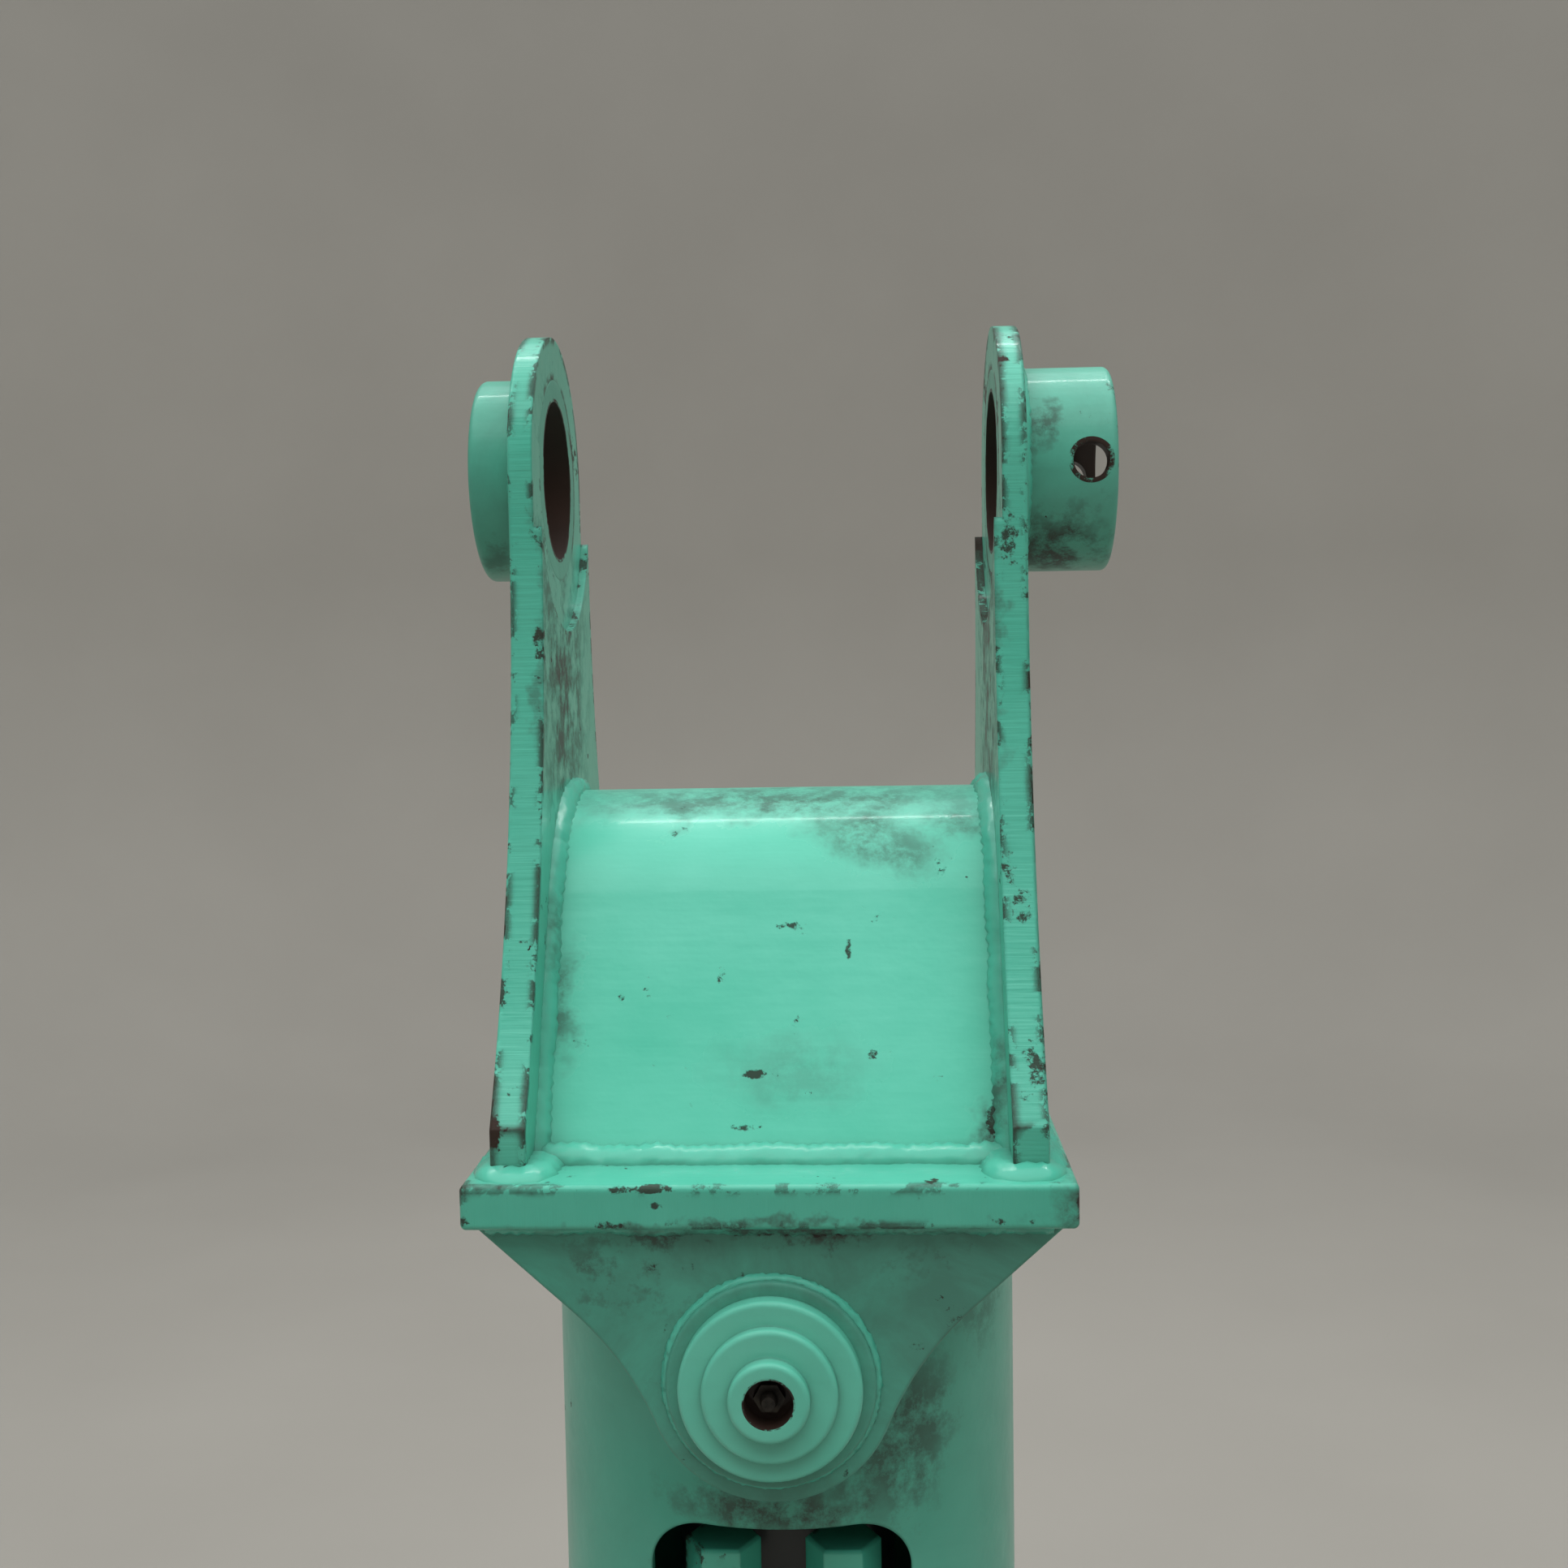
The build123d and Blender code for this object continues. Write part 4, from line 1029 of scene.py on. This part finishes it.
        # The first two patches darken the lug welds right under the base plate as painted shade, partly dirty;
        # the other two darken the saddle welds in the corners by the ears.
        weld_dirt_and_shade = (
            SoftPatch((0, -120, -258), (120, 14, 8), 0.95), SoftPatch((0, 120, -258), (120, 14, 8), 0.95),
            SoftPatch((78, -88, -218), (12, 14, 26), 0.8), SoftPatch((-80, -60, -170), (10, 12, 34), 0.6),
        )
        bead_coat = ChippedEnamel("mint_enamel_on_welds", chipping=0.0, grime_and_shade=0.3, gloss_roughness=0.2,
                                  stains_and_shade=weld_dirt_and_shade).make()
        for piece in self.welds:
            piece.data.materials.clear()
            piece.data.materials.append(bead_coat)
            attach(piece, "hitch")
        # Zinc plate gone dull: nearly black, with old grease and as painted shade in its recess, and a soft
        # shine where it is wiped.
        dress(["pivot_grease_nipple"],
              WorkedMetal("zinc_plated_nipple_painted_dark", "57524A", "15120F", 0.9, 0.35, (300.0,) * 3))


@dataclass
class DriveLooks:
    """The swinging drive: hood, motor, gearbox casings and their fasteners.

    Attributes:
        hood_radius: Outside radius of the hood tube, in millimetres, as are all sizes here.
        hood_top: Height of the hood tube's upper rim.
        hood_bottom: Height of the hood tube's lower rim.
        cross_radius: Outside radius of the pivot cross tube.
        pivot_height: Height of the pivot pin's axis.
    """

    hood_radius: float = 88.9
    hood_top: float = -279.0
    hood_bottom: float = -474.0
    cross_radius: float = 28.5
    pivot_height: float = -308.0
    welds: list[Piece] = field(default_factory=list)

    def cross_tube_path(self) -> Path:
        """Line where the pivot cross tube leaves the hood's front.

        Returns:
            The points in millimetres.
        """
        root = circle_path(Direction.Y, (0, 0, self.pivot_height), self.cross_radius + 0.4, 72)
        return [(x, -math.sqrt((self.hood_radius + 0.3) ** 2 - x * x), z) for x, _, z in root]

    def build(self) -> None:
        """Lay the hood's welds."""
        upper_rim = circle_path(Direction.Z, (0, 0, self.hood_top), self.hood_radius - 0.6, 144)
        lower_rim = circle_path(Direction.Z, (0, 0, self.hood_bottom + 0.2), self.hood_radius + 0.2, 144)
        cap = WeldBead("weld_hood_cap", upper_rim, 2.2, closed=True, seed=21, wander=0.2).build()
        foot = WeldBead("weld_hood_flange", lower_rim, 2.8, closed=True, seed=23, wander=0.2).build()
        cross = WeldBead(
            "weld_cross_tube_front", self.cross_tube_path(), 3.2, closed=True, seed=25, wander=0.2
        ).build()
        self.welds = [cap, foot, cross, moved_copy(cross, "weld_cross_tube_rear", HALF_TURN)]
        log.info("hood welds laid")

    def dress(self) -> None:
        """Give the drive its finishes."""
        # The patches darken the hood below the lug and under the base plate: painted shadow of the lug and
        # painted shade, partly dirty.
        hood_dirt_and_shade = (
            SoftPatch((42, -80, -345), (50, 40, 60), 0.8), SoftPatch((0, -89, -366), (76, 30, 16), 0.9),
            SoftPatch((72, -52, -300), (26, 40, 46), 0.55), SoftPatch((0, 0, -300), (100, 70, 26), 0.5),
        )
        dress(["hood_tube"],
              ChippedEnamel("mint_enamel_on_hood", chipping=0.35, grime_and_shade=0.5, wash=0.2, stains_and_shade=hood_dirt_and_shade))
        dress(["hood_cap", "pivot_cross_tube"],
              ChippedEnamel("mint_enamel_on_hood_top", chipping=0.3, grime_and_shade=0.8))
        dress(["hood_flange", "motor_mounting_plate", "ring_gear_housing", "bearing_housing", "seal_cover"],
              ChippedEnamel("mint_enamel_on_gearbox", chipping=0.5, grime_and_shade=0.5,
                            stains_and_shade=(SoftPatch((0, 0, -640), (90, 90, 40), 0.5),)))
        dress(["port_caps"], ChippedEnamel("mint_enamel_on_port_caps", chipping=0.7, grime_and_shade=0.5))
        dress(["gearbox_tie_bolts", "gearbox_tie_nuts", "seal_cover_bolts", "motor_cover_bolts",
               "motor_mount_bolts", "oil_plugs"],
              ChippedEnamel("mint_enamel_on_fasteners", chipping=0.9, grime_and_shade=0.45))
        # The motor has its maker's black enamel: thin and half gloss over cast iron, brown with dust.
        dress(["motor_housing", "motor_gerotor_section", "motor_end_cover"],
              ChippedEnamel("black_motor_enamel", coat="151617", faded="1E2021", soil_and_shade="2B2620",
                            chip_dark="3A3633", chip_rust="3B2418", chipping=0.4, grime_and_shade=0.6,
                            gloss_roughness=0.4))
        # Zinc plate: grey with a soft shine, half hidden by oily dust.
        dress(["port_elbows"], WorkedMetal("zinc_plated_fittings", "9A968A", "3A332A", 0.6, 0.34, (260.0,) * 3))
        # Cast bronze, turned: warm yellow, with dark grease and fine rings.
        dress(["pivot_bushes"],
              WorkedMetal("cast_bronze_bushes", "B98A4E", "4A3520", 0.5, 0.35, (60.0, 500.0, 60.0)))
        # Ground bearing steel: bright and even under an oil film.
        dress(["upper_bearing_cup", "lower_bearing_cup"],
              WorkedMetal("ground_bearing_cups", "B9B9B8", "6A645A", 0.15, 0.2, (60.0, 60.0, 900.0), 0.01))
        # Moulded nitrile rubber: near black and matt, with a faint bloom of dust and grease.
        dress(["output_seal"],
              MattSurface("moulded_nitrile_rubber", "121212", "2E2B27", (120.0, 5.0, 0.6), 0.6, 1.52, 0.05))
        coat = ChippedEnamel("mint_enamel_on_hood_welds", chipping=0.0, grime_and_shade=0.5).make()
        for piece in self.welds:
            piece.data.materials.clear()
            piece.data.materials.append(coat)
            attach(piece, "drive")


@dataclass
class GearTrainLooks:
    """The turning parts: output shaft, carrier, bearings, sun and planets."""

    turned: tuple[str, ...] = (
        "output_shaft", "bearing_locknut", "planet_carrier", "planet_pins", "planet_washers", "motor_shaft",
    )
    ground: tuple[str, ...] = (
        "upper_bearing_cone", "upper_bearing_rollers", "lower_bearing_cone", "lower_bearing_rollers",
        "sun_gear", "planet_gear_1", "planet_gear_2", "planet_gear_3",
    )
    bushes: tuple[str, ...] = ("planet_bush_1", "planet_bush_2", "planet_bush_3")

    def dress(self) -> None:
        """Give the gear train its finishes."""
        # Turned steel: fine rings round the shaft, dulled by grease and a light bloom of rust.
        dress(self.turned,
              WorkedMetal("turned_steel", "A5A19A", "4B3526", 0.55, 0.3, (25.0, 25.0, 900.0), 0.06))
        # Ground and hardened steel: bright and even under an oil film.
        dress(self.ground,
              WorkedMetal("ground_hardened_steel", "B9B9B8", "7A7468", 0.15, 0.2, (90.0, 90.0, 700.0), 0.01))
        # Rolled bronze strip: warm and smooth, with little grease.
        dress(self.bushes,
              WorkedMetal("rolled_bronze", "BC8F55", "5A4228", 0.3, 0.3, (60.0, 60.0, 700.0), 0.02))


@dataclass
class Studio:
    """Pale floor and wall, soft lights and the camera.

    Attributes:
        wall_distance: Distance from the object to the wall, in metres.
        wall_height: Height of the wall, in metres.
        camera_place: Where the camera stands, in metres.
        heading: The camera's turn to the left, in radians.
        pitch: The camera's tilt down, in radians.
        roll: The camera's roll, in radians.
        lens: Focal length in millimetres on a 36 mm sensor.
    """

    wall_distance: float = 2.9
    wall_height: float = 3.6
    camera_place: Point = (0.0334, -0.693, -0.0686)
    heading: float = 0.045
    pitch: float = 0.072
    roll: float = -0.017
    lens: float = 41.0

    def backdrop(self, lowest: float) -> None:
        """Model the round floor that sweeps up into the wall.

        Args:
            lowest: Height of the object's lowest point, in metres.
        """
        deselect_all()
        floor = lowest - 0.001
        bpy.ops.mesh.primitive_circle_add(
            vertices=96, radius=self.wall_distance, fill_type="NGON", location=(0, 0, floor)
        )
        room = bpy.context.active_object
        bpy.ops.object.transform_apply(location=True, rotation=True, scale=True)
        set_mode("EDIT")
        bpy.ops.mesh.select_mode(type="EDGE")
        bpy.ops.mesh.select_all(action="SELECT")
        bpy.ops.mesh.region_to_loop()
        bpy.ops.mesh.extrude_edges_move(TRANSFORM_OT_translate={"value": (0, 0, self.wall_height)})
        set_mode("OBJECT")
        for part in (*room.data.vertices, *room.data.polygons):
            part.select = False
        for edge in room.data.edges:
            edge.select = all(abs(room.data.vertices[v].co.z - floor) < 1e-4 for v in edge.vertices)
        set_mode("EDIT")
        bpy.ops.mesh.bevel(offset=0.9, segments=12, affect="EDGES")
        set_mode("OBJECT")
        bpy.ops.object.shade_smooth()
        room.name = "studio_room"
        # Matt emulsion, rolled on: pale, with a barely visible mottle.
        emulsion = MattSurface("matt_studio_emulsion", "9B9892", "928F89", (3.0, 3.0, 0.5), 0.9)
        room.data.materials.append(emulsion.make())
        log.info("backdrop set")

    def light(
        self, name: str, place: Point, aim: Point,
        size: tuple[float, float], power: float, colour: str = "FFFFFF",
    ) -> None:
        """Hang one soft rectangular light.

        Args:
            name: The light's name.
            place: Where it hangs, in metres.
            aim: The point that it faces, in metres.
            size: Its width and height, in metres.
            power: Its power in watts.
            colour: Its colour.
        """
        lamp = bpy.data.lights.new(name, "AREA")
        lamp.shape = "RECTANGLE"
        lamp.size, lamp.size_y = size
        lamp.energy = power
        lamp.color = linear(colour)[:3]
        holder = bpy.data.objects.new(name, lamp)
        holder.location = place
        holder.rotation_euler = (Vector(aim) - Vector(place)).to_track_quat("-Z", "Y").to_euler()
        # Only the thin tubes show as streaks in the gloss; a panel's edge would draw a line across the saddle.
        holder.visible_glossy = min(size) < 0.1
        bpy.context.scene.collection.objects.link(holder)

    def lights(self) -> None:
        """Hang the studio's lights and set its fill."""
        self.light("roof_panel", (0.0, -0.75, 2.1), (0, -0.1, -0.2), (4.0, 2.4), 60.0, "FFFEFA")
        self.light("front_panel", (0.0, -1.9, 1.7), (0, -0.1, -0.15), (3.2, 1.4), 9.0)
        self.light("roof_tube", (-0.1, 0.62, 1.7), (0, 0, -0.13), (2.6, 0.05), 9.0)
        self.light("low_fill", (0.2, -2.0, -0.2), (0, 0, -0.35), (1.8, 1.2), 0.6, "FBFDFF")
        self.light("rear_panel", (0.3, 1.2, 1.6), (0, 0.2, -0.3), (2.4, 0.8), 12.0)
        self.light("wall_wash", (0.0, 1.4, 2.3), (0, 2.9, 0.4), (4.0, 0.5), 2.0)
        world = bpy.data.worlds.new("studio_fill")
        bpy.context.scene.world = world
        world.use_nodes = True
        world.node_tree.nodes.clear()
        sky = add_node(world.node_tree, "Background", {"Color": linear("E4E8EA"), "Strength": 1.3})
        add_node(world.node_tree, "OutputWorld", {"Surface": sky})
        bpy.context.scene.view_settings.view_transform = "Standard"

    def camera(self) -> None:
        """Stand the camera in its place."""
        ahead = Vector((-math.sin(self.heading) * math.cos(self.pitch),
                        math.cos(self.heading) * math.cos(self.pitch), -math.sin(self.pitch)))
        right = Vector((math.cos(self.heading), math.sin(self.heading), 0))
        up = right.cross(ahead)
        across = right * math.cos(self.roll) + up * math.sin(self.roll)
        above = up * math.cos(self.roll) - right * math.sin(self.roll)
        optics = bpy.data.cameras.new("camera")
        optics.lens = self.lens
        optics.sensor_width = 36.0
        optics.clip_start = 0.01
        holder = bpy.data.objects.new("camera", optics)
        turn = Matrix((across, above, -ahead)).transposed().to_4x4()
        holder.matrix_world = Matrix.Translation(self.camera_place) @ turn
        bpy.context.scene.collection.objects.link(holder)
        bpy.context.scene.camera = holder

    def build(self, lowest: float) -> None:
        """Set up the whole studio.

        Args:
            lowest: Height of the object's lowest point, in metres.
        """
        self.backdrop(lowest)
        self.lights()
        self.camera()


def main() -> None:
    """Dress the drive and set the studio up."""
    logging.basicConfig(level=logging.INFO, format="%(name)s: %(message)s")
    hitch = HitchLooks()
    hitch.build()
    hitch.dress()
    drive = DriveLooks()
    drive.build()
    drive.dress()
    GearTrainLooks().dress()
    Studio().build(float(cad_box[0][2]))
    log.info("sizes written")


if __name__ == "__main__":
    main()
